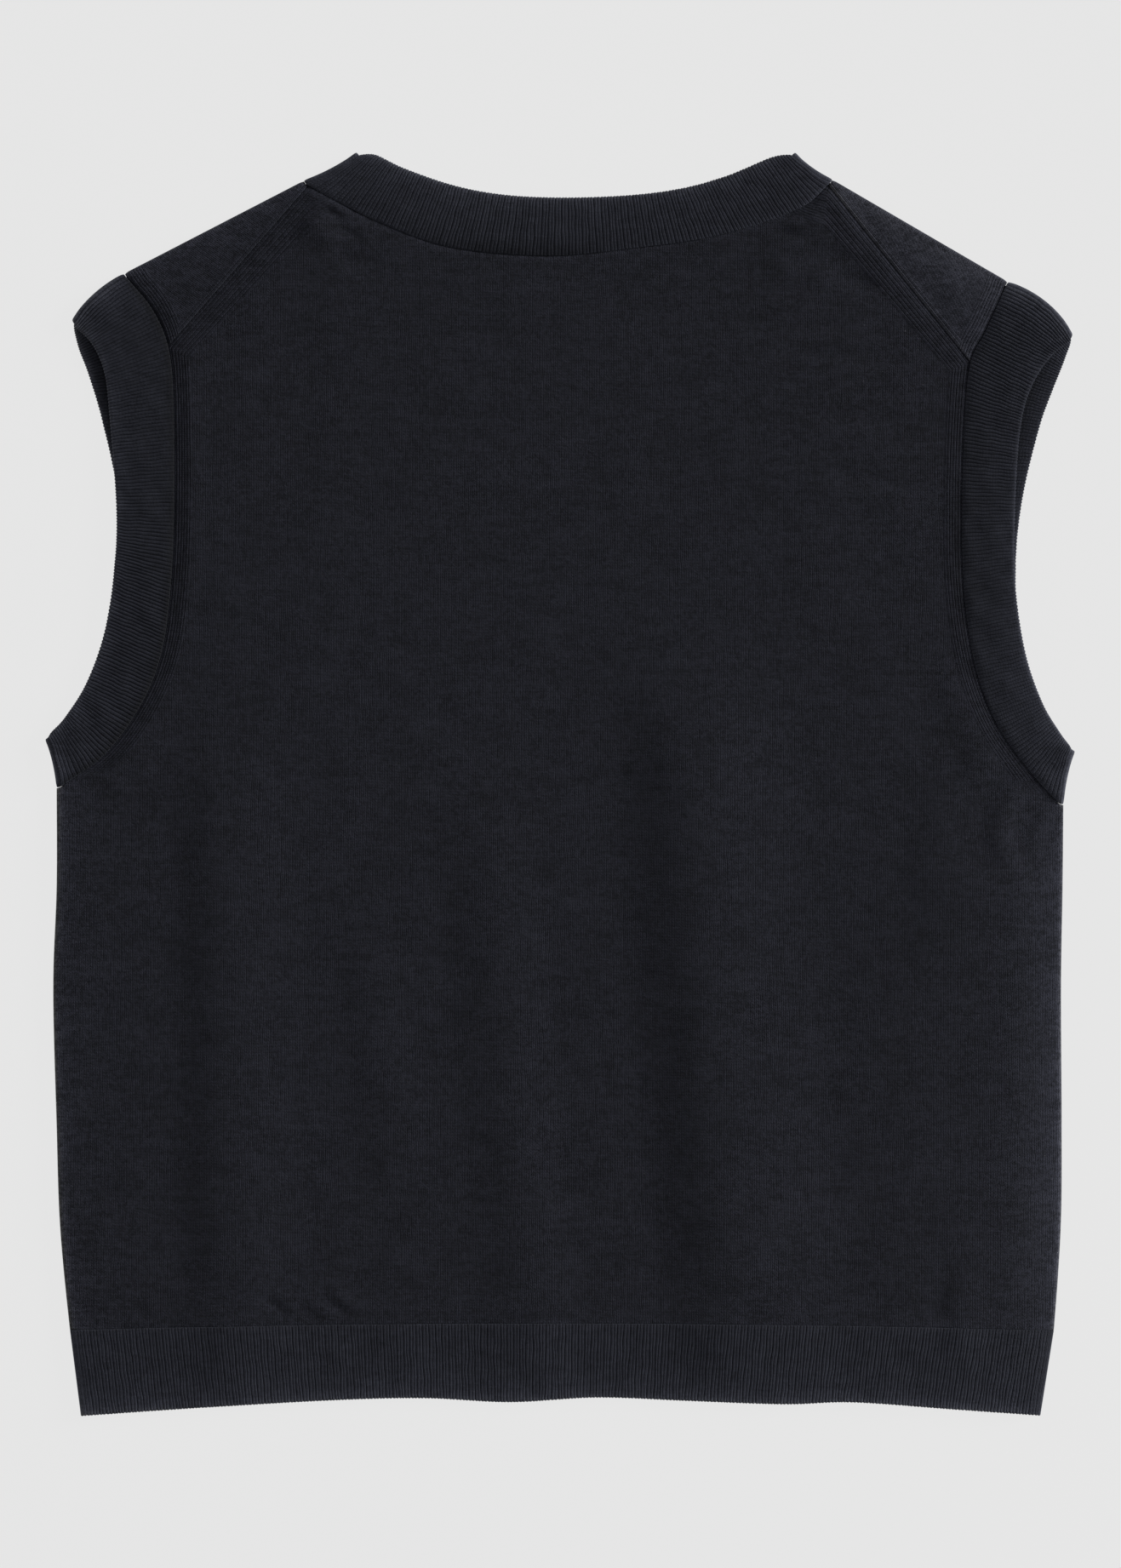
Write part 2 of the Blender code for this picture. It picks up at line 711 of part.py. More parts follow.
# ---------------------------------------------------------------- bands
def fold_columns(places, out, downward):
    """Return the columns of a band's half turn about one of its fold lines."""
    columns = []
    for step in range(1, FOLD_STEPS):
        angle = math.pi / 2.0 - math.pi * step / FOLD_STEPS
        angle = angle if downward else -angle
        column = []
        for place in places:
            outer = place + out * (RIB_FOLD * math.cos(angle))
            inner = place + out * ((RIB_FOLD - RIB_WALL) * math.cos(angle))
            outer_z = RIB_FOLD + RIB_FOLD * math.sin(angle)
            inner_z = RIB_FOLD + (RIB_FOLD - RIB_WALL) * math.sin(angle)
            column.append(WallPoint(Vector((*outer, outer_z)), Vector((*inner, inner_z))))
        columns.append(column)
    return columns


def build_band(name, back_line, front_line, pitch):
    """Build a rib band as one ring, folded flat at both its ends."""
    columns = []
    top = UPPER_INSIDE + RIB_WALL
    for index, t in enumerate(back_line.rows_by_length(pitch / 2.0)):
        rise = RIB_RISE if index % 2 else 0.0
        places = back_line.across(t)
        columns.append([flat_point(place, top + rise, UPPER_INSIDE) for place in places])
    columns += fold_columns(back_line.across(back_line.last), back_line.outward[1], True)
    for t in reversed(front_line.rows_by_length(PLAIN_BAND_STEP)):
        places = front_line.across(t)
        columns.append([flat_point(place, 0.0, RIB_WALL) for place in places])
    columns += fold_columns(back_line.across(0.0), back_line.outward[0], False)
    columns.append(columns[0])
    return make_wall(name, *split(columns), ring=True)


# ---------------------------------------------------------------- hems
def foot_y(x):
    """Return the height of the hem's free edge."""
    for t, (low, high) in enumerate(zip(HEM_FOOT, HEM_FOOT[1:])):
        if x <= high.x:
            break
    share = min(max((x - low.x) / (high.x - low.x), 0.0), 1.0)
    return spline([Vector((row.x, row.y)) for row in HEM_FOOT], t + share).y


def hem_ends(upper):
    """Return the left and right ends of the hem's top or foot line."""
    if upper:
        y = hem_top_y(HALF_WIDTH)
        return Vector((side_x(y, True), y)), Vector((side_x(y, False), y))
    left, right = HEM_FOOT[0], HEM_FOOT[-1]
    return Vector((left.x, left.y)), Vector((right.x, right.y))


def hem_row(upper, insets, turn, level, angles):
    """Return one row of a hem's wall points: its turned ends and the places between."""
    left, right = hem_ends(upper)
    inward = Vector((1.0, 0.0))
    row = [turn(left, inward, angle) for angle in angles]
    for index, share in enumerate(insets):
        x = left.x + (right.x - left.x) * share
        y = hem_top_y(x) if upper else foot_y(x)
        row.append(level(Vector((x, y)), index))
    row += [turn(right, -inward, angle) for angle in reversed(angles)]
    return row


def build_back_hem():
    """Build the back's hem, ribbed on its upper side."""
    centre = RIB_FOLD + SEAM_GAP / 2.0
    radius = UPPER_INSIDE + RIB_WALL - centre
    width = HALF_WIDTH * 2.0
    ribs = round((width - 2.0 * radius) / HEM_RIB_PITCH)
    insets = spread(radius / width, 1.0 - radius / width, 2 * ribs)

    def turn(place, inward, angle):
        return turned_point(place, inward, angle, radius, RIB_WALL, centre, 1.0)

    rows = []
    for upper in (False, True):
        share = 1.0 if upper else HEM_FOOT_SHARE

        def level(place, index, share=share):
            lift = UPPER_INSIDE + share * relief(place.x, hem_top_y(place.x))
            rise = RIB_RISE if index % 2 else 0.0
            return flat_point(place, lift + RIB_WALL + rise, lift)

        rows.append(hem_row(upper, insets, turn, level, BACK_TURN))
    return make_wall("back_hem_rib", *split(rows))


def build_front_hem():
    """Build the front's hem, plain where it lies on the ground."""
    radius = RIB_FOLD - SEAM_GAP / 2.0
    width = HALF_WIDTH * 2.0
    insets = spread(radius / width, 1.0 - radius / width, PLAIN_HEM_COLUMNS)

    def turn(place, inward, angle):
        return turned_point(place, inward, angle, radius, RIB_WALL, radius, -1.0)

    def level(place, index):
        return flat_point(place, 0.0, RIB_WALL)

    angles = FRONT_TURN[:-1]
    rows = [hem_row(upper, insets, turn, level, angles) for upper in (False, True)]
    return make_wall("front_hem_rib", *split(rows))


# ---------------------------------------------------------------- the vest
def main():
    """Build the vest's seven pieces."""
    for old in list(bpy.data.objects):
        bpy.data.objects.remove(old, do_unlink=True)
    build_front_panel()
    build_back_panel()
    build_front_hem()
    build_back_hem()
    build_band("neck_band", BACK_NECK_LINE, FRONT_NECK_LINE, NECK_RIB_PITCH)
    for side, (back_line, front_line) in ARM_LINES.items():
        build_band(side + "_armhole_band", back_line, front_line, ARM_RIB_PITCH)


main()
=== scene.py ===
"""The looks of a knitted sweater vest that lies flat on its front, with its back upward.

Each piece of the vest is a closed wall of cloth, finer than the solid that it stands for.
The neck points to +Y, the hem to -Y, and the wearer's left to -X. Sizes and places are
millimetres until a mesh gets its vertices.
"""

import logging
import math
from dataclasses import dataclass
from enum import Enum

import bmesh
import bpy
import numpy as np
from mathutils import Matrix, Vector


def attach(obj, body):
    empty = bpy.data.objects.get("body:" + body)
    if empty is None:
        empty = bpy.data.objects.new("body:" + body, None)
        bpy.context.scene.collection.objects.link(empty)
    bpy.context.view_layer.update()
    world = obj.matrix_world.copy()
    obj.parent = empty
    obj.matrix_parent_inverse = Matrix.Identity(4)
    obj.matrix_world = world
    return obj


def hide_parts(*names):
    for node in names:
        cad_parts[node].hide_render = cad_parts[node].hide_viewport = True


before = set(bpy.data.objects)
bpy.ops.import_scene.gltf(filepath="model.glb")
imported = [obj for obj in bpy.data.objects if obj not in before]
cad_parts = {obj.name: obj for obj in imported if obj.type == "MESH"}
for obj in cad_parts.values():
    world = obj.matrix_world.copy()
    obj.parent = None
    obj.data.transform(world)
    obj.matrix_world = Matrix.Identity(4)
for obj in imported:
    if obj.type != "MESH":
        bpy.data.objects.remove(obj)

LOG = logging.getLogger("vest")
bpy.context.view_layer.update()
MM = 0.001

# ---------------------------------------------------------------- cloth
JERSEY = 1.2            # thickness of the plain knit
UPPER_INSIDE = 2.2      # height of the back's inner side where it lies lowest
JERSEY_FOLD = 1.7       # outer radius of the jersey where it folds over a shoulder
RIB_FOLD = 1.85         # outer radius of a rib band where it folds
SEAM_CLEAR = 0.12       # clear distance between two sewn pieces that meet end to end
FOLD_CLEAR = 0.18       # and where both fold over
TUCK = 0.35             # how far an edge runs on under the piece that it is sewn to
TUCK_START = 6.0        # and over which length it slips under, from a fold
SIDE_SEAM = 1.85        # height of the seams along the two sides
SIDE_APART = 0.35       # how far the middle of each layer lies from it there
RIM = 0.9               # the wall rounds off over this distance at its edges
RIM_LEFT = 0.22         # share of the thickness left at the very edge
FOLD_RIM_LEFT = 0.6     # and at the end of a fold
SEAM_HOLLOW = 2.5       # a wall thins from beneath over this distance at the edge of its seam
SEAM_HOLLOW_LEFT = -0.15    # share of its lower half left at the very edge
WALE = 1.55             # width of a column of plain stitches
COURSE = 1.25           # height of a row of stitches
EDGE_WALE = 1.4         # width of the bold wales beside a fashioned edge
EDGE_WALE_RISE = 0.24   # and how far they stand out


class Layer(Enum):
    """The layers of a garment laid flat, by the way in which they face."""

    UPPER = 1
    LOWER = -1


class Knit(Enum):
    """The two ways in which the yarn is knitted, whose names the materials take."""

    JERSEY = "jersey"
    RIB = "rib"


@dataclass(frozen=True)
class Section:
    """A line across a rib band, from its sewn edge to its free edge."""

    seam_x: float
    seam_y: float
    edge_x: float
    edge_y: float
    bow: float = 0.0


@dataclass(frozen=True)
class Ridge:
    """A soft fold of the back, from its head down to its foot."""

    head_x: float
    head_y: float
    foot_x: float
    foot_y: float
    left_flank: float
    right_flank: float
    height: float


@dataclass(frozen=True)
class Crease:
    """A small crease: a ridge if its height is above 0, and else a trough."""

    start_x: float
    start_y: float
    end_x: float
    end_y: float
    width: float
    height: float


# ---------------------------------------------------------------- outline
NECK_FOLD_LEFT = Section(-112.2, 264.0, -88.4, 276.7, -1.0)
NECK_FOLD_RIGHT = Section(119.3, 264.4, 102.2, 276.7, -1.0)
SHOULDER_FOLD_LEFT = Section(-191.3, 223.0, -214.4, 202.1, 2.1)
SHOULDER_FOLD_RIGHT = Section(196.5, 219.5, 225.2, 195.8, 3.6)
UNDERARM_FOLD_LEFT = Section(-220.4, -1.9, -225.6, 20.1, -0.8)
UNDERARM_FOLD_RIGHT = Section(220.4, -9.3, 225.6, 14.9, -0.9)

BACK_NECK = (
    NECK_FOLD_LEFT,
    Section(-98.5, 255.2, -80.5, 274.6),
    Section(-80.0, 246.0, -68.0, 268.7),
    Section(-54.0, 236.0, -46.0, 261.2),
    Section(-28.0, 231.9, -24.0, 257.2),
    Section(2.0, 231.0, 2.0, 256.0),
    Section(34.0, 234.4, 31.0, 257.1),
    Section(62.0, 238.2, 54.0, 260.2),
    Section(87.0, 244.8, 74.0, 265.9),
    Section(107.0, 252.9, 92.0, 273.4),
    NECK_FOLD_RIGHT,
)
FRONT_NECK = (
    NECK_FOLD_LEFT,
    Section(-106.8, 247.0, -84.5, 258.0),
    Section(-101.0, 224.0, -79.5, 236.0),
    Section(-83.0, 200.0, -66.0, 217.0),
    Section(-48.0, 182.0, -40.0, 204.5),
    Section(3.0, 175.5, 3.0, 199.0),
    Section(54.0, 182.0, 46.0, 204.5),
    Section(90.0, 200.0, 73.0, 217.0),
    Section(108.5, 224.0, 88.0, 236.0),
    Section(114.3, 247.0, 95.5, 258.0),
    NECK_FOLD_RIGHT,
)
BACK_ARM_LEFT = (
    SHOULDER_FOLD_LEFT,
    Section(-178.4, 207.2, -204.8, 192.6),
    Section(-171.6, 191.0, -199.3, 180.3),
    Section(-169.3, 168.0, -197.1, 163.0),
    Section(-169.0, 119.3, -193.9, 119.3),
    Section(-170.8, 82.0, -195.2, 91.0),
    Section(-175.0, 55.0, -199.3, 65.5),
    Section(-184.0, 33.4, -206.8, 44.3),
    Section(-199.0, 13.0, -215.7, 29.7),
    UNDERARM_FOLD_LEFT,
)
FRONT_ARM_LEFT = (
    SHOULDER_FOLD_LEFT,
    Section(-185.8, 205.0, -210.6, 190.6),
    Section(-181.5, 184.0, -206.3, 179.2),
    Section(-177.6, 160.0, -200.6, 160.0),
    Section(-173.5, 125.0, -193.8, 128.0),
    Section(-171.5, 90.0, -193.5, 98.0),
    Section(-173.0, 60.0, -196.0, 72.0),
    Section(-181.0, 34.0, -204.0, 46.5),
    Section(-196.5, 11.5, -214.5, 28.5),
    UNDERARM_FOLD_LEFT,
)
BACK_ARM_RIGHT = (
    SHOULDER_FOLD_RIGHT,
    Section(186.5, 198.5, 213.5, 185.6),
    Section(179.7, 184.0, 205.2, 171.5),
    Section(177.1, 158.0, 200.9, 153.0),
    Section(176.0, 119.3, 198.8, 119.3),
    Section(176.9, 84.0, 198.9, 88.0),
    Section(181.5, 52.5, 203.3, 57.5),
    Section(190.9, 26.5, 210.9, 35.0),
    Section(205.5, 5.5, 219.2, 21.0),
    UNDERARM_FOLD_RIGHT,
)
FRONT_ARM_RIGHT = (
    SHOULDER_FOLD_RIGHT,
    Section(191.5, 200.5, 219.8, 183.0),
    Section(187.5, 181.0, 215.2, 171.5),
    Section(184.0, 158.0, 209.4, 155.0),
    Section(180.3, 125.0, 202.3, 125.0),
    Section(177.5, 92.0, 199.3, 96.0),
    Section(179.5, 60.0, 201.0, 66.0),
    Section(188.5, 30.0, 208.9, 39.0),
    Section(203.5, 6.5, 218.3, 22.5),
    UNDERARM_FOLD_RIGHT,
)
SHOULDER_SEAM_AT = 2.0  # row of the armhole tables where the shoulder seam ends
SEAM_START = 0.09       # and how far along the neck tables it starts

SIDE_HEIGHTS = (0.0, -45.0, -90.0, -150.0, -194.0, -239.0, -254.0, -277.0)
LEFT_SIDE = (-220.4, -220.4, -221.9, -220.4, -218.9, -214.6, -212.2, -209.6)
RIGHT_SIDE = (220.4, 220.0, 219.3, 219.6, 219.2, 216.2, 214.3, 210.2)

HEM_TOP = -236.6        # top of the hem rib at the middle
HEM_TOP_DROP = 2.9      # and how much lower it is at the sides
HALF_WIDTH = 216.0      # of the body at the hem
HEM_FOOT_X = (-209.8, -156.0, -97.0, -59.0, -22.0, 16.0, 55.0, 98.0, 128.0, 170.0, 210.3)
HEM_FOOT_Y = (-276.7, -273.0, -269.7, -268.9, -270.6, -268.6, -270.0, -271.5, -270.7, -273.6, -276.5)


# ---------------------------------------------------------------- curves
def smooth(share: np.ndarray) -> np.ndarray:
    """Ease shares from 0 to 1."""
    share = np.clip(share, 0.0, 1.0)
    return share * share * (3.0 - 2.0 * share)


def smooth_rows(rows: np.ndarray, places: np.ndarray) -> np.ndarray:
    """Read a smooth curve through the rows of a table.

    Args:
        rows: The table, one row of values for each point of the curve.
        places: Row numbers, which may lie between rows.

    Returns:
        The values at each row number.
    """
    last = len(rows) - 1
    padded = np.concatenate([[2 * rows[0] - rows[1]], rows, [2 * rows[-1] - rows[-2]]])
    index = np.clip(np.floor(places).astype(int), 0, last - 1)
    f = (places - index).reshape((-1,) + (1,) * (rows.ndim - 1))
    p0, p1, p2, p3 = (padded[index + k] for k in range(4))
    return 0.5 * (
        2.0 * p1
        + (p2 - p0) * f
        + (2.0 * p0 - 5.0 * p1 + 4.0 * p2 - p3) * f ** 2
        + (3.0 * p1 - p0 - 3.0 * p2 + p3) * f ** 3
    )


def smooth_table(at: np.ndarray, xs: tuple[float, ...], ys: tuple[float, ...]) -> np.ndarray:
    """Read y at each x of a smooth curve through a short table whose x rises."""
    fine = np.linspace(0.0, len(xs) - 1.0, 24 * len(xs))
    curve = smooth_rows(np.column_stack([xs, ys]), fine)
    return np.interp(at, curve[:, 0], curve[:, 1])


def side_x(y: np.ndarray, left: bool) -> np.ndarray:
    """Return where the body's side runs at each height y."""
    return smooth_table(y, SIDE_HEIGHTS[::-1], (LEFT_SIDE if left else RIGHT_SIDE)[::-1])


def hem_top(x: np.ndarray) -> np.ndarray:
    """Return the height of the seam between panel and hem at each x."""
    return HEM_TOP - HEM_TOP_DROP * (x / HALF_WIDTH) ** 2


def ripple(places: np.ndarray, across: float, along: float, seed: int) -> np.ndarray:
    """Return smooth unevenness, mostly between -1 and 1.

    Args:
        places: Points whose x and y are read.
        across: Length of its waves along x.
        along: Length of its waves along y.
        seed: Picks one of many such patterns.

    Returns:
        One value for each point.
    """
    waves = 9
    draw = np.random.default_rng(seed)
    total = np.zeros(places.shape[:-1])
    for _ in range(waves):
        turn = draw.uniform(0.0, math.tau)
        phase = draw.uniform(0.0, math.tau)
        rate = math.tau * draw.uniform(0.6, 1.5)
        x = places[..., 0] / across * math.cos(turn)
        y = places[..., 1] / along * math.sin(turn)
        total += np.sin(rate * (x + y) + phase)
    return total * math.sqrt(2.0 / waves) / 1.6


class Line:
    """A line of points in the plane, read by shares of its length."""

    def __init__(self, points: np.ndarray) -> None:
        """Keep the points and measure the length up to each."""
        self.points = points
        steps = np.linalg.norm(np.diff(points, axis=0), axis=1)
        self.lengths = np.concatenate([[0.0], np.cumsum(steps)])

    @property
    def length(self) -> float:
        """The whole length."""
        return float(self.lengths[-1])

    def at(self, shares: np.ndarray) -> np.ndarray:
        """Return the points at shares of the length."""
        reach = np.asarray(shares) * self.length
        x = np.interp(reach, self.lengths, self.points[:, 0])
        y = np.interp(reach, self.lengths, self.points[:, 1])
        return np.stack([x, y], axis=-1)

    def reversed(self) -> "Line":
        """Return the same line run the other way."""
        return Line(self.points[::-1])

    def beside(self, places: np.ndarray) -> tuple[np.ndarray, np.ndarray]:
        """Measure how far places lie from the line, and how far along it.

        Args:
            places: Points in the plane.

        Returns:
            The distance of each, and the length of line up to the point nearest to it.
        """
        best = np.full(places.shape[:-1], np.inf)
        along = np.zeros(places.shape[:-1])
        for index, start in enumerate(self.points[:-1]):
            step = self.points[index + 1] - start
            rel = places - start
            share = np.clip((rel @ step) / max(float(step @ step), 1e-9), 0.0, 1.0)
            gap = np.hypot(rel[..., 0] - share * step[0], rel[..., 1] - share * step[1])
            closer = gap < best
            best[closer] = gap[closer]
            length = self.lengths[index] + share * np.linalg.norm(step)
            along[closer] = length[closer]
        return best, along


class Edge:
    """One edge of a panel: lines in turn, each with its own stretch of the shares 0 to 1."""

    def __init__(self, lines: list[Line], knots: list[float]) -> None:
        """Keep the lines and the shares at which each starts and the last one ends."""
        self.lines = lines
        self.knots = knots

    def at(self, shares: np.ndarray) -> np.ndarray:
        """Return the points at the shares."""
        points = self.lines[0].at(np.zeros_like(shares))
        for line, start, end in zip(self.lines, self.knots, self.knots[1:]):
            inside = shares >= start
            points[inside] = line.at((shares[inside] - start) / (end - start))
        return points


def fill(
    left: Edge,
    right: Edge,
    bottom: Edge,
    top: Edge,
    u: np.ndarray,
    v: np.ndarray,
    straight: float = 0.0,
) -> np.ndarray:
    """Fill four edges with rows of places between them.

    Args:
        left: Edge that runs up on the left.
        right: Edge that runs up on the right.
        bottom: Edge that runs across below.
        top: Edge that runs across above.
        u: Shares of the columns.
        v: Shares of the rows.
        straight: Share of the rows, from the bottom, that don't take the top's shape.

    Returns:
        The places, by row and column.
    """
    across = u[None, :, None]
    up = np.clip((v - straight) / (1.0 - straight), 0.0, 1.0)[:, None, None]
    low, high = bottom.at(u), top.at(u)
    sides = left.at(v)[:, None] * (1.0 - across) + right.at(v)[:, None] * across
    ends = low[None] * (1.0 - up) + high[None] * up
    low_corners = low[0] * (1.0 - across) + low[-1] * across
    high_corners = high[0] * (1.0 - across) + high[-1] * across
    return sides + ends - low_corners * (1.0 - up) - high_corners * up


# distances from an edge at which a wall has its first rows
SOFT_EDGE = (0.0, 0.12, 0.35, 0.7, 1.2, 1.9, 2.8, 4.0, 5.6)
GATHER_EDGE = SOFT_EDGE + (6.8, 8.0, 9.3, 10.7, 12.1, 13.6)
BAND_EDGE = (0.0, 0.15, 0.45, 1.0, 1.8, 3.0)
WALE_EDGE = (0.0, 0.12) + tuple(EDGE_WALE / 4.0 * k for k in range(1, 30)) + (10.7, 11.6, 13.0)
UNDERARM_EDGE = (0.0, 0.5, 1.0, 1.5, 2.0, 2.5)
SEAM_WALES = (0.0, 0.1) + tuple(0.3 * k for k in range(1, 13)) + (4.2, 5.2)
NO_EDGE = (0.0,)


def spaced(
    length: float, step: float, start: tuple[float, ...] = NO_EDGE, end: tuple[float, ...] = NO_EDGE
) -> np.ndarray:
    """Return shares along a length: set distances from both ends, and even steps between.

    Args:
        length: The length in millimetres.
        step: Usual distance between neighbours.
        start: Distances of the first ones from the start.
        end: Distances of the last ones from the end.

    Returns:
        The shares from 0 to 1.
    """
    inner = length - start[-1] - end[-1]
    count = max(1, round(inner / step))
    middle = start[-1] + inner * np.arange(1, count) / count
    return np.concatenate([start, middle, length - np.array(end)[::-1]]) / length


def rim(distance: np.ndarray, reach: float = RIM, left: float | np.ndarray = RIM_LEFT) -> np.ndarray:
    """Return the share of a wall's half thickness at a distance from its rounded edge."""
    inset = 1.0 - np.clip(distance / reach, 0.0, 1.0)
    return left + (1.0 - left) * np.sqrt(1.0 - inset * inset)


def hollowed(distance: np.ndarray) -> np.ndarray:
    """Return the share left of the half beneath a wall's middle, at a distance from its seam."""
    share = np.clip(distance / SEAM_HOLLOW, 0.0, 1.0)
    return SEAM_HOLLOW_LEFT + (1.0 - SEAM_HOLLOW_LEFT) * share


def edge_wale(distance: np.ndarray) -> np.ndarray:
    """Return how far a distance from a fashioned edge lies up a wale, from 0 to 1."""
    crest = np.abs(np.sin(math.pi * distance / EDGE_WALE)) ** 0.7
    return crest * smooth(distance / EDGE_WALE)


def painted_rim_light(distance: np.ndarray, rim_highlight: float = 2.2, wide_highlight: float = 0.6) -> np.ndarray:
    """Return a painted highlight near an outer edge, where the fuzz would catch the light.

    Args:
        distance: Distance of each place from the edge.
        rim_highlight: Strength of the painted highlight at the very edge; below 0 it paints shade.
        wide_highlight: And its strength over the centimetre beside it.

    Returns:
        Factors for the colour, which paint the highlight.
    """
    return 1.0 + rim_highlight * np.exp(-distance / 1.1) + wide_highlight * np.exp(-distance / 7.0)


# ---------------------------------------------------------------- bands' lines
class BandHalf:
    """Half of a rib band, as smooth lines along its sewn edge, middle and free edge."""

    def __init__(self, sections: tuple[Section, ...]) -> None:
        """Read the sections, with room at both ends for the band's folds."""
        self.outward = (self.facing(sections, 0, 1), self.facing(sections, -1, -2))
        rows = []
        for section in sections:
            seam = np.array([section.seam_x, section.seam_y])
            edge = np.array([section.edge_x, section.edge_y])
            rows.append(np.array([seam, (seam + edge) / 2.0, edge]))
        for index, out in zip((0, -1), self.outward):
            rows[index][1] += out * sections[index].bow
            rows[index] -= out * RIB_FOLD
        self.rows = np.array(rows)
        self.last = float(len(sections) - 1)

    @staticmethod
    def facing(sections: tuple[Section, ...], end: int, beside: int) -> np.ndarray:
        """Return the direction in which the band's fold faces at one of its ends."""
        row, inner = sections[end], sections[beside]
        line = np.array([row.edge_x - row.seam_x, row.edge_y - row.seam_y])
        normal = np.array([-line[1], line[0]]) / np.linalg.norm(line)
        towards = np.array([inner.seam_x - row.seam_x, inner.seam_y - row.seam_y])
        return -normal if normal @ towards > 0.0 else normal

    def across(self, places: np.ndarray) -> np.ndarray:
        """Return the sewn, middle and free points at row numbers."""
        return smooth_rows(self.rows, np.asarray(places, float))

    def rib_rows(self, pitch: float, steps: int) -> np.ndarray:
        """Return row numbers that part the band's middle into whole ribs.

        Args:
            pitch: Distance from one rib to the next.
            steps: Columns in each rib.

        Returns:
            The row numbers, from 0 to the last.
        """
        fine = np.linspace(0.0, self.last, int(60 * self.last) + 1)
        middle = Line(self.across(fine)[:, 1])
        ribs = round(middle.length / pitch)
        wanted = np.linspace(0.0, middle.length, ribs * steps + 1)
        return np.interp(wanted, middle.lengths, fine)

    def panel_line(self, first: float, last: float, tuck: float) -> Line:
        """Return the edge of the panel that is sewn to rows of the band.

        Args:
            first: Row at which the line starts.
            last: Row at which it ends.
            tuck: How far the edge runs under the band, away from the band's folds.

        Returns:
            The line.
        """
        rows = np.linspace(first, last, int(20 * abs(last - first)) + 2)
        points = self.across(rows)
        ahead = self.across(np.clip(rows + 0.02, 0.0, self.last))[:, 0]
        behind = self.across(np.clip(rows - 0.02, 0.0, self.last))[:, 0]
        along = ahead - behind
        normal = np.column_stack([-along[:, 1], along[:, 0]])
        normal /= np.linalg.norm(normal, axis=1)[:, None]
        away = points[:, 0] - points[:, 2]
        normal *= np.where((normal * away).sum(axis=1) < 0.0, -1.0, 1.0)[:, None]
        ends = self.across(np.array([0.0, self.last]))[:, 0]
        to_fold = np.linalg.norm(points[:, None, 0] - ends[None], axis=2).min(axis=1)
        offset = FOLD_CLEAR - (tuck + FOLD_CLEAR) * smooth(to_fold / TUCK_START)
        return Line(points[:, 0] + normal * offset[:, None])


NECK_HALVES = (BandHalf(BACK_NECK), BandHalf(FRONT_NECK))
ARM_HALVES = {
    "left": (BandHalf(BACK_ARM_LEFT), BandHalf(FRONT_ARM_LEFT)),
    "right": (BandHalf(BACK_ARM_RIGHT), BandHalf(FRONT_ARM_RIGHT)),
}
UNDERARM_Y = -2.4       # below this height the sides swell up


def shoulder_seam(side: str, offset: float) -> Line:
    """Return a shoulder seam from armhole to neck, moved towards the yoke by an offset."""
    arm = ARM_HALVES[side][0].panel_line(SHOULDER_SEAM_AT, SHOULDER_SEAM_AT + 0.1, TUCK).points[0]
    neck_half = NECK_HALVES[0]
    at = SEAM_START if side == "left" else neck_half.last - SEAM_START
    neck = neck_half.panel_line(at, at, TUCK).points[0]
    along = (neck - arm) / np.linalg.norm(neck - arm)
    off = np.array([-along[1], along[0]]) * offset
    off *= 1.0 if off[1] * offset > 0.0 else -1.0
    return Line(np.linspace(arm + off, neck + off, 24))


def side_line(side: str, foot: float) -> Line:
    """Return a panel's side from a height up to the underarm."""
    fold = UNDERARM_FOLD_LEFT if side == "left" else UNDERARM_FOLD_RIGHT
    heights = np.linspace(foot, fold.seam_y - 2.0 * FOLD_CLEAR, 60)
    return Line(np.column_stack([side_x(heights, side == "left"), heights]))


def armhole_line(side: str, half: BandHalf, last_row: float, tuck: float, side_top: np.ndarray) -> Line:
    """Return a panel's armhole edge, from the top of its side up to a row of the band."""
    line = half.panel_line(half.last, last_row, tuck)
    return Line(np.concatenate([side_top[None], line.points]))


def hem_line(tuck: float) -> Line:
    """Return a panel's lower edge from left to right, which runs under the hem by a tuck."""
    foot = np.array([hem_top(HALF_WIDTH)])
    x = np.linspace(side_x(foot, True)[0], side_x(foot, False)[0], 300)
    from_side = np.minimum(x - x[0], x[-1] - x)
    offset = SEAM_CLEAR - (tuck + SEAM_CLEAR) * smooth(from_side / TUCK_START)
    return Line(np.column_stack([x, hem_top(x) + offset]))


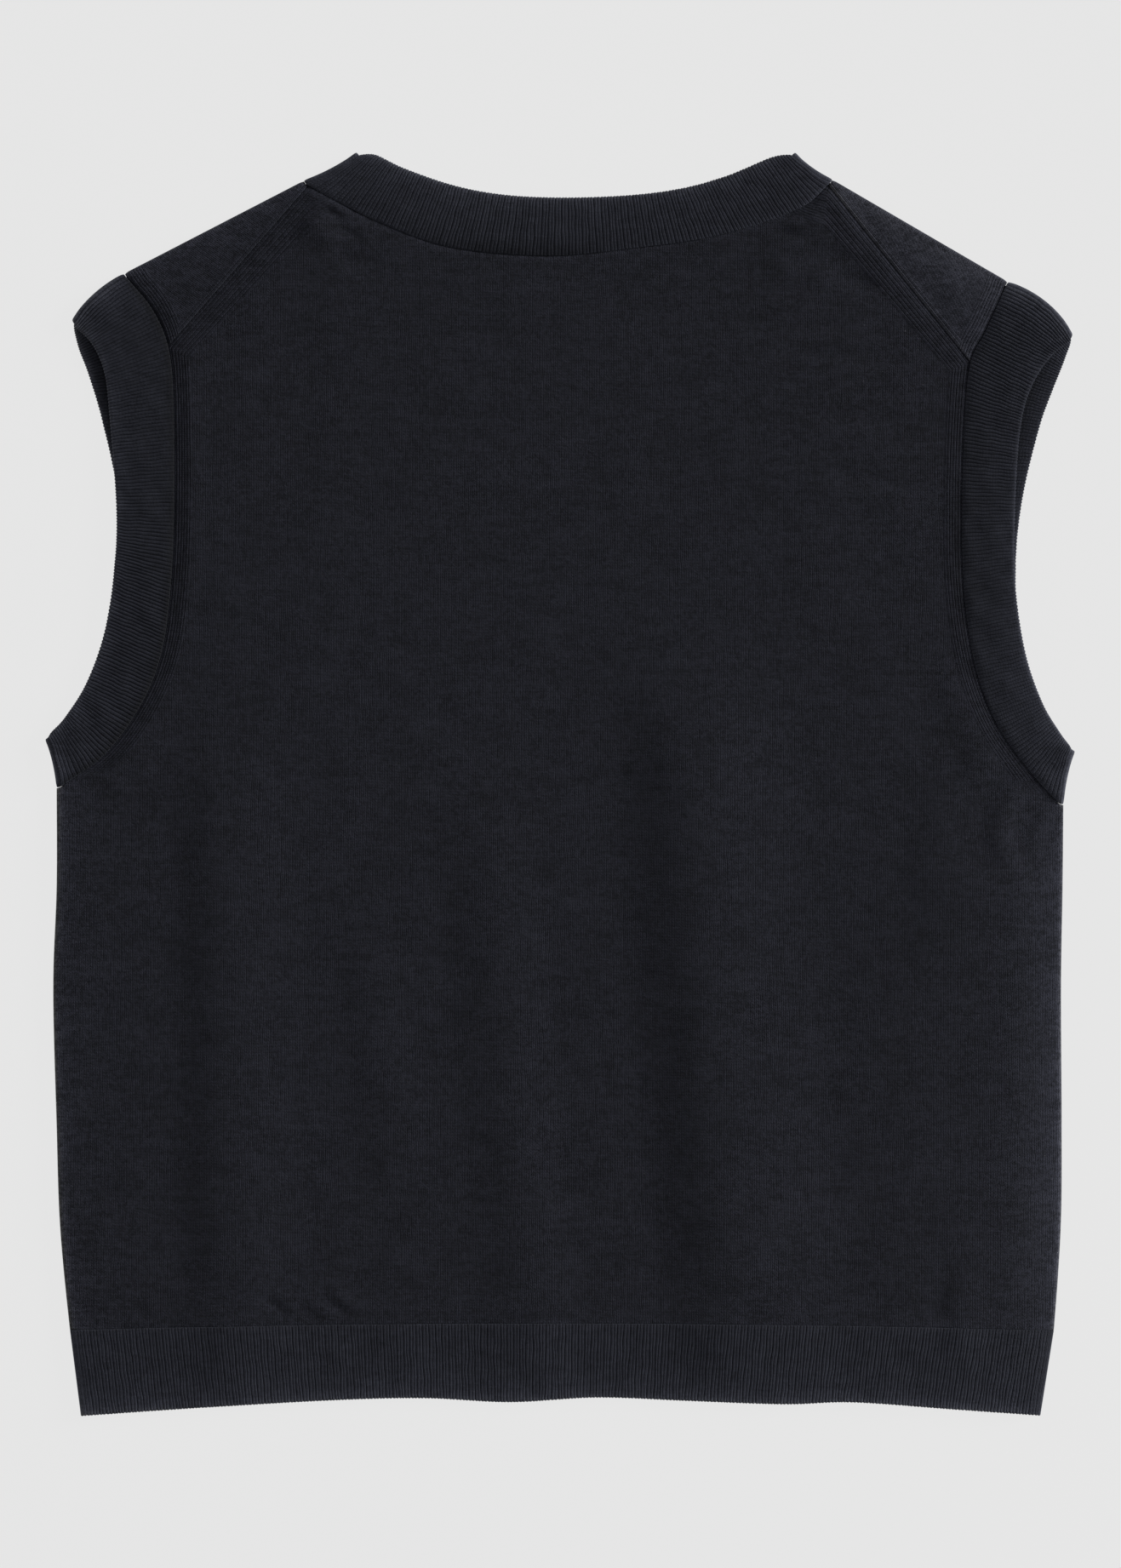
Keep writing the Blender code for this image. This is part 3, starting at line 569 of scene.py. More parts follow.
# ---------------------------------------------------------------- how the back lies
RIDGES = (
    Ridge(-149.0, 48.0, -146.5, -238.0, 24.0, 42.0, 2.6),
    Ridge(-88.0, -30.0, -70.0, -205.0, 18.0, 20.0, 1.0),
    Ridge(-38.0, 22.0, -12.0, -238.0, 26.0, 26.0, 1.6),
    Ridge(52.0, 72.0, 77.0, -238.0, 38.0, 58.0, 4.4),
    Ridge(171.0, 40.0, 164.0, -100.0, 20.0, 34.0, 1.5),
    Ridge(178.0, -176.0, 176.0, -238.0, 12.0, 14.0, 1.0),
)
CREASES = (
    # the back rests on the front's neck band
    Crease(100.0, 320.0, 120.0, 60.0, 42.0, 0.7),
    Crease(-98.0, 290.0, -94.0, 200.0, 15.0, 0.55),
    # beside the right end of the neck band
    Crease(98.0, 246.0, 122.0, 240.0, 2.6, 0.9),
    Crease(97.0, 242.2, 108.5, 238.6, 1.6, -0.65),
    Crease(107.0, 240.0, 117.0, 243.0, 1.6, -0.55),
    Crease(109.0, 249.0, 115.0, 243.5, 2.4, 0.6),
    Crease(112.0, 242.5, 122.0, 237.5, 2.2, -0.5),
    Crease(106.0, 235.0, 126.0, 229.5, 2.6, -0.9),
    Crease(98.0, 230.0, 114.0, 228.0, 2.4, -0.8),
    Crease(92.0, 225.0, 120.0, 221.0, 3.5, 0.9),
    Crease(118.0, 226.0, 140.0, 216.0, 3.2, -0.8),
    # beside the left end of the neck band
    Crease(-113.0, 247.0, -98.0, 236.0, 5.0, 1.2),
    Crease(-104.0, 253.0, -94.0, 245.0, 2.2, -0.8),
    Crease(-97.0, 243.0, -86.0, 238.0, 2.4, -0.8),
    Crease(-100.0, 231.0, -78.0, 227.0, 4.0, -0.8),
    # slack across the right shoulder blade
    Crease(70.0, 203.0, 132.0, 200.0, 3.4, -0.9),
    Crease(84.0, 190.0, 150.0, 186.0, 3.6, -1.0),
    Crease(60.0, 176.0, 120.0, 174.0, 3.4, -0.7),
    Crease(96.0, 163.0, 156.0, 158.0, 3.6, -0.9),
    Crease(78.0, 148.0, 128.0, 147.0, 3.4, -0.7),
    Crease(110.0, 136.0, 160.0, 131.0, 3.6, -0.9),
    Crease(92.0, 119.0, 150.0, 117.0, 3.4, -0.6),
    # underarms
    Crease(-202.0, 3.0, -186.0, -8.0, 4.0, 0.6),
    Crease(-196.0, 12.0, -176.0, 2.0, 4.0, 0.5),
    Crease(192.0, 14.0, 176.0, 2.0, 4.5, 0.8),
    Crease(164.0, 60.0, 188.0, 0.0, 7.0, 0.9),
    Crease(203.0, -2.0, 190.0, -16.0, 3.4, 0.9),
    Crease(214.0, -12.0, 204.0, -30.0, 3.6, 0.8),
    Crease(192.0, -6.0, 196.0, -44.0, 6.0, 1.3),
    Crease(186.0, -18.0, 198.0, -34.0, 3.2, 0.6),
    # gathers above the hem
    Crease(-129.0, -224.0, -118.0, -234.5, 1.5, -0.75),
    Crease(-124.0, -223.0, -113.0, -233.5, 1.8, 0.4),
    Crease(-119.0, -227.0, -104.0, -235.0, 1.5, -0.65),
    Crease(-107.0, -222.0, -92.0, -234.0, 1.6, -0.75),
    Crease(-101.0, -221.0, -86.0, -232.5, 1.9, 0.4),
    Crease(-94.0, -232.5, -70.0, -233.5, 1.5, -0.4),
    Crease(24.0, -222.0, 31.0, -235.0, 3.0, -0.4),
    Crease(112.0, -220.0, 106.0, -235.0, 3.0, -0.4),
    Crease(167.0, -216.0, 163.0, -235.0, 3.0, -0.2),
    Crease(173.0, -216.0, 171.0, -235.0, 3.0, 0.25),
)


@dataclass(frozen=True)
class BackLie:
    """How the laid back rises and falls, above its lowest lie."""

    ridge_fade: float = 70.0        # length over which a fold rises from its head or foot
    left_swell: float = 0.9         # how far the back swells up beside its left side seam
    left_reach: float = 16.0        # distance of that swelling's top from the seam
    right_swell: float = 4.4
    right_reach: float = 25.0
    swell_fall: float = 130.0       # length over which a swelling falls again
    underarm_fade: float = 45.0     # the swelling grows over this length below the underarm
    hem_hold: float = 0.55          # share of the folds' height left where the rib gathers them
    hem_hold_length: float = 40.0
    edge_calm: float = 14.0         # folds die out over this distance from neck and armholes
    unevenness: float = 0.16        # height of the cloth's broad unevenness
    slub: float = 0.10              # and of its fine one

    def ridge(self, ridge: Ridge, x: np.ndarray, y: np.ndarray) -> np.ndarray:
        """Return how far one soft fold lifts the back."""
        share = (ridge.head_y - y) / (ridge.head_y - ridge.foot_y)
        crest = ridge.head_x + (ridge.foot_x - ridge.head_x) * share
        flank = np.where(x < crest, ridge.left_flank, ridge.right_flank)
        reach = np.clip(np.abs(x - crest) / flank, 0.0, 1.0)
        lift = ridge.height * 0.5 * (1.0 + np.cos(math.pi * reach))
        lift *= smooth((ridge.head_y - y) / self.ridge_fade)
        if ridge.foot_y > HEM_TOP:
            lift *= smooth((y - ridge.foot_y) / self.ridge_fade)
        return lift

    def crease(self, crease: Crease, places: np.ndarray) -> np.ndarray:
        """Return how far one small crease lifts the back."""
        start = np.array([crease.start_x, crease.start_y])
        step = np.array([crease.end_x, crease.end_y]) - start
        rel = places - start
        share = (rel @ step) / (step @ step)
        off = np.abs(rel[..., 0] * step[1] - rel[..., 1] * step[0]) / np.linalg.norm(step)
        fade = smooth(share / 0.4 + 0.2) * smooth((1.0 - share) / 0.4 + 0.2)
        return crease.height * np.exp(-((off / crease.width) ** 2)) * fade

    def swell(self, distance: np.ndarray, height: float, reach: float) -> np.ndarray:
        """Return the swelling at a distance from a side seam, with its greatest height and where."""
        rising = np.sin(math.pi / 2.0 * np.clip(distance / reach, 0.0, 1.0))
        return height * rising * (1.0 - smooth((distance - reach) / self.swell_fall))

    def folds(self, places: np.ndarray) -> np.ndarray:
        """Return the lift of the soft folds and the swollen sides."""
        x, y = places[..., 0], places[..., 1]
        lift = sum(self.ridge(ridge, x, y) for ridge in RIDGES)
        sides = self.swell(x - side_x(y, True), self.left_swell, self.left_reach)
        sides = sides + self.swell(side_x(y, False) - x, self.right_swell, self.right_reach)
        lift = lift + sides * smooth((UNDERARM_Y - y) / self.underarm_fade)
        hold = smooth((y - HEM_TOP) / self.hem_hold_length)
        return lift * (self.hem_hold + (1.0 - self.hem_hold) * hold)

    def height(self, places: np.ndarray, upper: np.ndarray, edge: np.ndarray) -> np.ndarray:
        """Return the whole lift of the back.

        Args:
            places: Points of the back.
            upper: Distance of each to the neck, armhole or shoulder seam.
            edge: Distance of each to the nearest seam of all.

        Returns:
            The lift of each.
        """
        lift = self.folds(places) * smooth(upper / self.edge_calm)
        small = self.unevenness * ripple(places, 34.0, 26.0, 5)
        small = small + self.slub * ripple(places, 17.0, 6.5, 11)
        for crease in CREASES:
            small = small + self.crease(crease, places)
        return lift + small * smooth(edge / 4.0)


LIE = BackLie()


# ---------------------------------------------------------------- walls of cloth
@dataclass
class Cloth:
    """Rows of outer and inner points of a wall, in millimetres, and its stitch numbers.

    stitches holds the wale and course number of each point. trim holds the same numbers
    counted from a fashioned edge, and how far that edge's own wales show, from 0 to 1.
    tone scales the colour: the yarn's own tone, and mostly painted light and shade. Points that
    aren't a number are left out. A ring's last column is its first one again.
    """

    outer: np.ndarray
    inner: np.ndarray
    stitches: np.ndarray
    trim: np.ndarray | None = None
    tone: np.ndarray | None = None

    def wall(self, name: str) -> bpy.types.Object:
        """Make the closed wall.

        Args:
            name: Name of the piece.

        Returns:
            The new object, smooth and with its stitch numbers as a UV map.
        """
        rows, columns = self.outer.shape[0] - 1, self.outer.shape[1] - 1
        sheet = bmesh.new()
        behind = sheet.verts.layers.float_vector.new("behind")
        trim = sheet.verts.layers.float_vector.new("trim")
        tone = sheet.verts.layers.float.new("tone")
        uv = sheet.loops.layers.uv.new("stitches")
        bmesh.ops.create_grid(sheet, x_segments=columns, y_segments=rows, size=0.5)
        places, unused = [], []
        for vertex in sheet.verts:
            row = round((vertex.co.y + 0.5) * rows)
            column = round((vertex.co.x + 0.5) * columns)
            places.append((row, column))
            if np.isnan(self.outer[row, column, 0]):
                unused.append(vertex)
        for face in sheet.faces:
            for loop in face.loops:
                loop[uv].uv = self.stitches[places[loop.vert.index]]
        for vertex, place in zip(sheet.verts, places):
            vertex.co = self.outer[place] * MM
            vertex[behind] = self.inner[place] * MM
            vertex[tone] = 1.0 if self.tone is None else self.tone[place]
            if self.trim is not None:
                vertex[trim] = self.trim[place]
        bmesh.ops.delete(sheet, geom=unused, context="VERTS")
        bmesh.ops.remove_doubles(sheet, verts=sheet.verts, dist=1e-7)
        wall = bmesh.ops.extrude_face_region(sheet, geom=sheet.faces[:])
        for item in wall["geom"]:
            if isinstance(item, bmesh.types.BMVert):
                item.co = item[behind]
        bmesh.ops.recalc_face_normals(sheet, faces=sheet.faces)
        sheet.verts.layers.float_vector.remove(behind)
        return finished(name, sheet)


def finished(name: str, mesh: bmesh.types.BMesh) -> bpy.types.Object:
    """Turn a bmesh into a smooth object at the origin, and free it."""
    data = bpy.data.meshes.new(name)
    mesh.to_mesh(data)
    mesh.free()
    data.shade_smooth()
    piece = bpy.data.objects.new(name, data)
    bpy.context.scene.collection.objects.link(piece)
    return piece


def raised(places: np.ndarray, heights: np.ndarray) -> np.ndarray:
    """Return places in the plane with their heights."""
    return np.concatenate([places, heights[..., None]], axis=-1)


def nearest(lines: list[Line], places: np.ndarray) -> np.ndarray:
    """Return the distance of each place to the nearest of several lines."""
    return np.min([line.beside(places)[0] for line in lines], axis=0)


# ---------------------------------------------------------------- panels
@dataclass
class BackPanel:
    """The back: one piece of plain knit from the hem's seam to neck and shoulders."""

    row_step: float = 2.7
    column_step: float = 1.92
    armhole_width: float = 346.0    # from armhole to armhole
    dip_reach: float = 0.8          # the very edge dips to slip under a band
    armhole_dip: float = 0.3
    left_gutter: float = 0.34       # depth of the wider trough beside the left armhole band
    least_gutter: float = 0.25      # and its depth at the underarm
    right_gutter: float = 0.2
    gutter_reach: float = 7.5
    gutter_start: float = 15.0      # the left trough grows from this height
    gutter_growth: float = 75.0     # over this length
    corner_start: float = 165.0     # and the right one grows again below the shoulder seam
    corner_growth: float = 20.0
    left_bank: float = 0.32         # rise of the cloth beyond it
    bank_at: float = 9.0
    bank_reach: float = 4.5
    right_shade: float = 0.45       # how much darker the cloth is beside the right band
    shade_at: float = 100.0
    shade_half: float = 38.0
    neck_dip: float = 0.3
    neck_gutter: float = 0.36
    middle_gutter: float = 0.3      # how much deeper it is below the neck's middle
    neck_reach: float = 3.8
    neck_middle: float = -12.0
    neck_middle_half: float = 34.0
    neck_drop: float = 0.8          # most that the cloth sinks by the neck
    floor: float = 1.74             # least height of its inner side there, above the front's band
    floor_fall: float = 0.35        # how much lower that is away from the neck
    on_band: float = 8.0            # distance from the neck up to which the back lies on that band
    hem_dip: float = 0.47
    hem_gutter: float = 0.15
    hem_reach: float = 4.0
    shoulder_dip: float = 0.27
    shoulder_gutter: float = 0.3
    shoulder_reach: float = 5.0
    seam_light: float = 1.2          # painted light, which lifts the shade deep in the seams
    seam_light_reach: float = 1.1
    shoulder_seam_light: float = 0.8      # and how much more in the shoulder seams
    shoulder_seam_light_reach: float = 1.3
    strip: float = 9.5              # width of the bold wales that follow armhole and shoulder
    strip_end: float = 14.0         # they fade out over this length
    slope_share: float = 0.73       # distance between rows on the slope of a shoulder
    side_reach: float = 2.4

    def build(self) -> bpy.types.Object:
        """Build the back as a wall and return it."""
        arms = {side: ARM_HALVES[side][0] for side in ARM_HALVES}
        foot = float(hem_top(HALF_WIDTH)) + SEAM_CLEAR
        sides = {side: side_line(side, foot) for side in arms}
        armholes = {
            side: armhole_line(side, half, SHOULDER_SEAM_AT, TUCK, sides[side].points[-1])
            for side, half in arms.items()
        }
        seams = {side: shoulder_seam(side, TUCK) for side in arms}
        for side in arms:
            armholes[side].points[-1] = seams[side].points[0]
        neck_half = NECK_HALVES[0]
        neck = neck_half.panel_line(SEAM_START, neck_half.last - SEAM_START, TUCK)
        neck.points[0], neck.points[-1] = seams["left"].points[-1], seams["right"].points[-1]
        hem = hem_line(TUCK)

        whole = sides["left"].length + armholes["left"].length
        turn = sides["left"].length / whole
        low = spaced(sides["left"].length, self.row_step, GATHER_EDGE) * turn
        to_slope = np.array(WALE_EDGE) / self.slope_share
        high = spaced(armholes["left"].length, self.row_step, UNDERARM_EDGE, tuple(to_slope))
        v = np.concatenate([low, high[1:] * (1.0 - turn) + turn])
        u = spaced(self.armhole_width, self.column_step, WALE_EDGE, WALE_EDGE)
        corner = seams["left"].length / (seams["left"].length * 2.0 + neck.length)
        left = Edge([sides["left"], armholes["left"]], [0.0, turn, 1.0])
        right = Edge([sides["right"], armholes["right"]], [0.0, turn, 1.0])
        top = Edge([seams["left"], neck, seams["right"].reversed()], [0.0, corner, 1.0 - corner, 1.0])
        places = fill(left, right, Edge([hem], [0.0, 1.0]), top, u, v, turn)

        arm_distance = nearest([armholes["left"], armholes["right"]], places)
        neck_distance = neck.beside(places)[0]
        seam_distance = nearest([seams["left"], seams["right"]], places)
        hem_distance = hem.beside(places)[0]
        side_distance = nearest([sides["left"], sides["right"]], places)
        upper = np.minimum(np.minimum(arm_distance, neck_distance), seam_distance)
        edge_distance = np.minimum(np.minimum(upper, hem_distance), side_distance)
        middle = UPPER_INSIDE + JERSEY / 2.0 + LIE.height(places, upper, edge_distance)
        off_middle = (places[..., 0] - self.neck_middle) / self.neck_middle_half
        below_neck = self.neck_gutter + self.middle_gutter * np.exp(-(off_middle ** 4))
        growth = smooth((places[..., 1] - self.gutter_start) / self.gutter_growth)
        by_left = self.least_gutter + (self.left_gutter - self.least_gutter) * growth
        by_corner = smooth((places[..., 1] - self.corner_start) / self.corner_growth)
        by_right = self.right_gutter + self.least_gutter * np.maximum(1.0 - growth, by_corner)
        by_arm = np.where(places[..., 0] < 0.0, by_left, by_right)
        drop = np.zeros_like(middle)
        for distance, dip, gutter, reach in (
            (arm_distance, self.armhole_dip, by_arm, self.gutter_reach),
            (neck_distance, self.neck_dip, below_neck, self.neck_reach),
            (hem_distance, self.hem_dip, self.hem_gutter, self.hem_reach),
            (seam_distance, self.shoulder_dip, self.shoulder_gutter, self.shoulder_reach),
        ):
            drop += dip * np.exp(-((distance / self.dip_reach) ** 2))
            drop += gutter * (1.0 - smooth(distance / reach))
        middle -= np.minimum(drop, self.neck_drop + smooth(neck_distance / 10.0))
        past_gutter = (armholes["left"].beside(places)[0] - self.bank_at) / self.bank_reach
        bank = self.left_bank * growth * smooth(seam_distance / 20.0)
        middle += bank * np.exp(-(past_gutter ** 2))
        side_height = SIDE_SEAM + SIDE_APART
        middle = side_height + (middle - side_height) * rim(side_distance, self.side_reach)
        half = JERSEY / 2.0 * rim(edge_distance)

        from_side = np.minimum(u, 1.0 - u)[None] * self.armhole_width
        from_top = (1.0 - v)[:, None] * whole * self.slope_share
        past_corner = np.maximum(np.minimum(u, 1.0 - u) - corner, 0.0)[None] * self.armhole_width
        from_top = from_top + 0.6 * past_corner
        below = (turn - v)[:, None] * whole + self.strip_end
        inset = np.minimum(from_side + np.maximum(below, 0.0), from_top)
        shows = 1.0 - smooth((inset - self.strip + 1.5) / 3.0)
        rise = EDGE_WALE_RISE * edge_wale(inset) * shows
        along = places[..., 1] * 1.25
        trim = np.stack([inset / EDGE_WALE, along / COURSE, shows], axis=-1)
        wobble = 0.30 * ripple(places, 40.0, 60.0, 3) + 0.12 * ripple(places, 12.0, 12.0, 4)
        stitches = np.stack(
            [places[..., 0] / WALE + wobble, places[..., 1] / COURSE + wobble], axis=-1
        )
        off_band = smooth((neck_distance - self.on_band) / self.on_band)
        floor = self.floor - self.floor_fall * off_band
        outer = raised(places, middle + half + rise)
        inner = raised(places, np.maximum(middle - half, floor))
        left_distance = sides["left"].beside(places)[0]
        # painted light and shade in the colour: highlights along the sides and in the seams, shade beside
        # the right band
        tone = painted_rim_light(side_distance, 3.0, 0.7) + painted_rim_light(left_distance, 3.5, 0.4) - 1.0
        in_seam = np.minimum(upper, hem_distance) / self.seam_light_reach
        tone += self.seam_light * np.exp(-(in_seam ** 2))
        tone += self.shoulder_seam_light * np.exp(-((seam_distance / self.shoulder_seam_light_reach) ** 2))
        beside = 1.0 - smooth(armholes["right"].beside(places)[0] / self.gutter_reach)
        off_height = (places[..., 1] - self.shade_at) / self.shade_half
        tone *= 1.0 - self.right_shade * beside * np.exp(-(off_height ** 2))
        return Cloth(outer, inner, stitches, trim, tone).wall("back_panel_cloth")


@dataclass
class FrontPanel:
    """The front: plain knit on the ground, with both shoulders folded over to the back."""

    step: float = 2.4
    hidden_step: float = 4.5
    reach: float = 95.0             # length of a shoulder's fold
    yoke: float = 32.0              # from there up to the shoulder seam
    lower_gutter: float = 0.4
    upper_gutter: float = 0.64
    gutter_reach: float = 1.3
    strip: float = 9.5              # width of the bold wales beside the armhole
    seam_strip: float = 3.2         # and beside the shoulder seam
    left_lift: float = 0.45
    right_lift: float = 1.0
    fold_steps: int = 10
    side_reach: float = 2.4
    # painted sheen on the folded yokes: the right one is much lighter, as the light catches its fuzz
    left_yoke_sheen: float = 1.1
    right_yoke_sheen: float = 1.95
    left_lip: float = -0.25         # painted light along the yoke's seam; a value below 0 paints shade
    right_lip: float = 0.8
    left_rim_highlight: float = 1.6          # painted highlight along the shoulder's fold; a value below 0 paints shade
    right_rim_highlight: float = -0.35

    def gutter(self, distance: np.ndarray, depth: float | np.ndarray) -> np.ndarray:
        """Return the depth of the trough at a distance from a band."""
        return depth * np.exp(-((distance / self.gutter_reach) ** 2))

    def flat_part(self, u: np.ndarray, corner: float) -> tuple[np.ndarray, ...]:
        """Return the outer, inner, stitch, trim and tone rows of the part on the ground."""
        foot = float(hem_top(HALF_WIDTH)) + SEAM_CLEAR
        arms = {side: ARM_HALVES[side][1] for side in ARM_HALVES}
        sides = {side: side_line(side, foot) for side in arms}
        armholes = {
            side: armhole_line(side, half, 0.0, -SEAM_CLEAR, sides[side].points[-1])
            for side, half in arms.items()
        }
        neck = NECK_HALVES[1].panel_line(0.0, NECK_HALVES[1].last, -SEAM_CLEAR)
        folds = [
            Line(np.array([armholes["left"].points[-1], neck.points[0]])),
            Line(np.array([neck.points[-1], armholes["right"].points[-1]])),
        ]
        hem = hem_line(-SEAM_CLEAR)
        turn = sides["left"].length / (sides["left"].length + armholes["left"].length)
        low = spaced(sides["left"].length, self.hidden_step, SOFT_EDGE) * turn
        high = spaced(armholes["left"].length, self.hidden_step, UNDERARM_EDGE)
        v = np.concatenate([low, high[1:] * (1.0 - turn) + turn])
        left = Edge([sides["left"], armholes["left"]], [0.0, turn, 1.0])
        right = Edge([sides["right"], armholes["right"]], [0.0, turn, 1.0])
        top = Edge([folds[0], neck, folds[1]], [0.0, corner, 1.0 - corner, 1.0])
        places = fill(left, right, Edge([hem], [0.0, 1.0]), top, u, v, turn)
        band_distance = nearest([armholes["left"], armholes["right"], neck], places)
        fold_distance = nearest(folds, places)
        side_distance = nearest([sides["left"], sides["right"]], places)
        edge_distance = np.minimum(band_distance, hem.beside(places)[0])
        side_height = SIDE_SEAM - SIDE_APART
        middle = JERSEY / 2.0 + self.gutter(band_distance, self.lower_gutter)
        middle = side_height + (middle - side_height) * rim(side_distance, self.side_reach)
        left_over = RIM_LEFT + (FOLD_RIM_LEFT - RIM_LEFT) * np.exp(-fold_distance / 2.5)
        half = JERSEY / 2.0 * rim(np.minimum(edge_distance, side_distance), RIM, left_over)
        stitches = np.stack([places[..., 0] / WALE, places[..., 1] / COURSE], axis=-1)
        trim = np.stack([band_distance / EDGE_WALE, stitches[..., 1],
                         1.0 - smooth((band_distance - self.strip + 1.0) / 2.0)], axis=-1)
        # painted highlight along the sides
        tone = painted_rim_light(side_distance)[..., None]
        return raised(places, middle - half), raised(places, middle + half), stitches, trim, tone

    def shoulder(self, side: str, shares: np.ndarray) -> tuple[np.ndarray, ...]:
        """Return the rows of one folded shoulder, from the fold up to the shoulder seam.

        Args:
            side: "left" or "right".
            shares: Shares of the columns, from the armhole to the neck.

        Returns:
            The outer, inner, stitch, trim and tone rows.
        """
        back_half, front_half = ARM_HALVES[side]
        at = 0.0 if side == "left" else NECK_HALVES[0].last
        seam_at = SEAM_START if side == "left" else NECK_HALVES[0].last - SEAM_START
        arm_edge = back_half.panel_line(0.0, SHOULDER_SEAM_AT, TUCK)
        neck_edge = NECK_HALVES[0].panel_line(at, seam_at, TUCK)
        seam = shoulder_seam(side, 0.0)
        arm_edge.points[-1] = seam.points[0]
        neck_edge.points[-1] = seam.points[-1]
        low = np.array([front_half.panel_line(0.0, 0.1, -SEAM_CLEAR).points[0],
                        NECK_HALVES[1].panel_line(at, at, -SEAM_CLEAR).points[0]])
        high = np.array([arm_edge.points[0], neck_edge.points[0]])
        along = (low[1] - low[0]) / np.linalg.norm(low[1] - low[0])
        out = np.array([-along[1], along[0]])
        out *= 1.0 if out[1] > 0.0 else -1.0
        angles = np.linspace(-math.pi / 2.0, math.pi / 2.0, self.fold_steps + 1)[1:-1]
        turn = np.linspace(0.0, 1.0, self.fold_steps + 1)[1:-1, None, None]
        low_row, high_row = Line(low).at(shares), Line(high).at(shares)
        fold_places = low_row[None] * (1.0 - turn) + high_row[None] * turn

        v = spaced(self.yoke, self.step * 0.7, NO_EDGE, SEAM_WALES)
        edges = [Edge([line], [0.0, 1.0]) for line in (arm_edge, neck_edge, Line(high), seam)]
        places = np.concatenate([fold_places, fill(*edges, shares, v)])
        rows = len(angles)
        sine = np.concatenate([np.sin(angles), np.ones(len(v))])[:, None]
        cosine = np.concatenate([np.cos(angles), np.zeros(len(v))])[:, None]
        fold_distance = Line(high).beside(places)[0]
        near_fold = np.exp(-fold_distance / 2.5)
        near_fold[:rows] = 1.0
        band_distance = nearest([arm_edge, neck_edge], places)
        seam_distance = seam.beside(places)[0]
        near_end = np.maximum(near_fold, np.exp(-seam_distance))
        left_over = RIM_LEFT + (FOLD_RIM_LEFT - RIM_LEFT) * near_end
        half = JERSEY / 2.0 * rim(np.minimum(band_distance, seam_distance), RIM, left_over)
        depth = self.lower_gutter + (self.upper_gutter - self.lower_gutter) * (1.0 + sine) / 2.0
        dip = self.gutter(band_distance, depth * (1.0 - 0.45 * near_fold))
        whole_lift = self.left_lift if side == "left" else self.right_lift
        lift = whole_lift * (1.0 - np.exp(-fold_distance / 9.0)) * smooth(band_distance / 9.0)
        lift *= 0.17 + 0.83 * smooth(seam_distance / 12.0)
        edge_distance = np.minimum(band_distance, seam_distance)
        lift += 0.14 * ripple(places, 22.0, 22.0, 21) * smooth(edge_distance / 4.0)
        lift[:rows] = 0.0
        inset = shares[None] * self.reach * np.ones_like(dip)
        shows = 1.0 - smooth((inset - self.strip + 1.5) / 3.0)
        seam_shows = 1.0 - smooth((seam_distance - self.seam_strip + 0.6) / 1.2)
        by_seam = seam_shows > shows
        inset = np.where(by_seam, seam_distance, inset)
        shows = np.where(by_seam, seam_shows, shows)
        rise = EDGE_WALE_RISE * edge_wale(inset) * shows * np.clip(sine, 0.0, 1.0)
        hollow = JERSEY / 2.0 * hollowed(seam_distance)
        radius = JERSEY_FOLD - JERSEY / 2.0 - dip
        grids = []
        for reach in (radius + half + rise, radius - np.minimum(half, hollow)):
            around = places + out * (cosine * reach)[..., None]
            grids.append(raised(around, JERSEY_FOLD + reach * sine + lift))
        flat = places - 2.0 * ((places - high[0]) @ out)[..., None] * out
        stitches = np.stack([flat[..., 0] / WALE, flat[..., 1] / COURSE], axis=-1)
        course = np.where(by_seam, seam.beside(places)[1], arm_edge.beside(places)[1]) / COURSE
        trim = np.stack([inset / EDGE_WALE, course, shows], axis=-1)
        # painted light and shade: the yokes' sheen, highlights along the fold, and light or shade at the
        # seam
        tone = self.left_yoke_sheen if side == "left" else self.right_yoke_sheen
        lip = self.left_lip if side == "left" else self.right_lip
        rim_highlight = self.left_rim_highlight if side == "left" else self.right_rim_highlight
        tone = tone * painted_rim_light(fold_distance + JERSEY_FOLD * (1.0 - cosine), rim_highlight, 0.8)
        tone = (tone * (1.0 + lip * np.exp(-((seam_distance / 1.2) ** 2))))[..., None]
        return grids[0], grids[1], stitches, trim, tone

    def build(self) -> bpy.types.Object:
        """Build the front as a wall and return it."""
        half = NECK_HALVES[1]
        neck = half.panel_line(0.0, half.last, -SEAM_CLEAR).length
        corner = self.reach / (2.0 * self.reach + neck)
        slope = spaced(self.reach, self.step, WALE_EDGE, SOFT_EDGE) * corner
        flat = spaced(neck, self.hidden_step) * (1.0 - 2.0 * corner) + corner
        u = np.concatenate([slope, flat[1:-1], (1.0 - slope)[::-1]])
        parts = self.flat_part(u, corner)
        left = self.shoulder("left", slope / corner)
        right = self.shoulder("right", slope / corner)
        grids = []
        for lower, west, east in zip(parts, left, right):
            gap = np.full((len(west), len(flat) - 2, west.shape[-1]), np.nan)
            grids.append(np.concatenate([lower, np.concatenate([west, gap, east[:, ::-1]], axis=1)]))
        grids[-1] = grids[-1][..., 0]
        return Cloth(*grids).wall("front_panel_cloth")


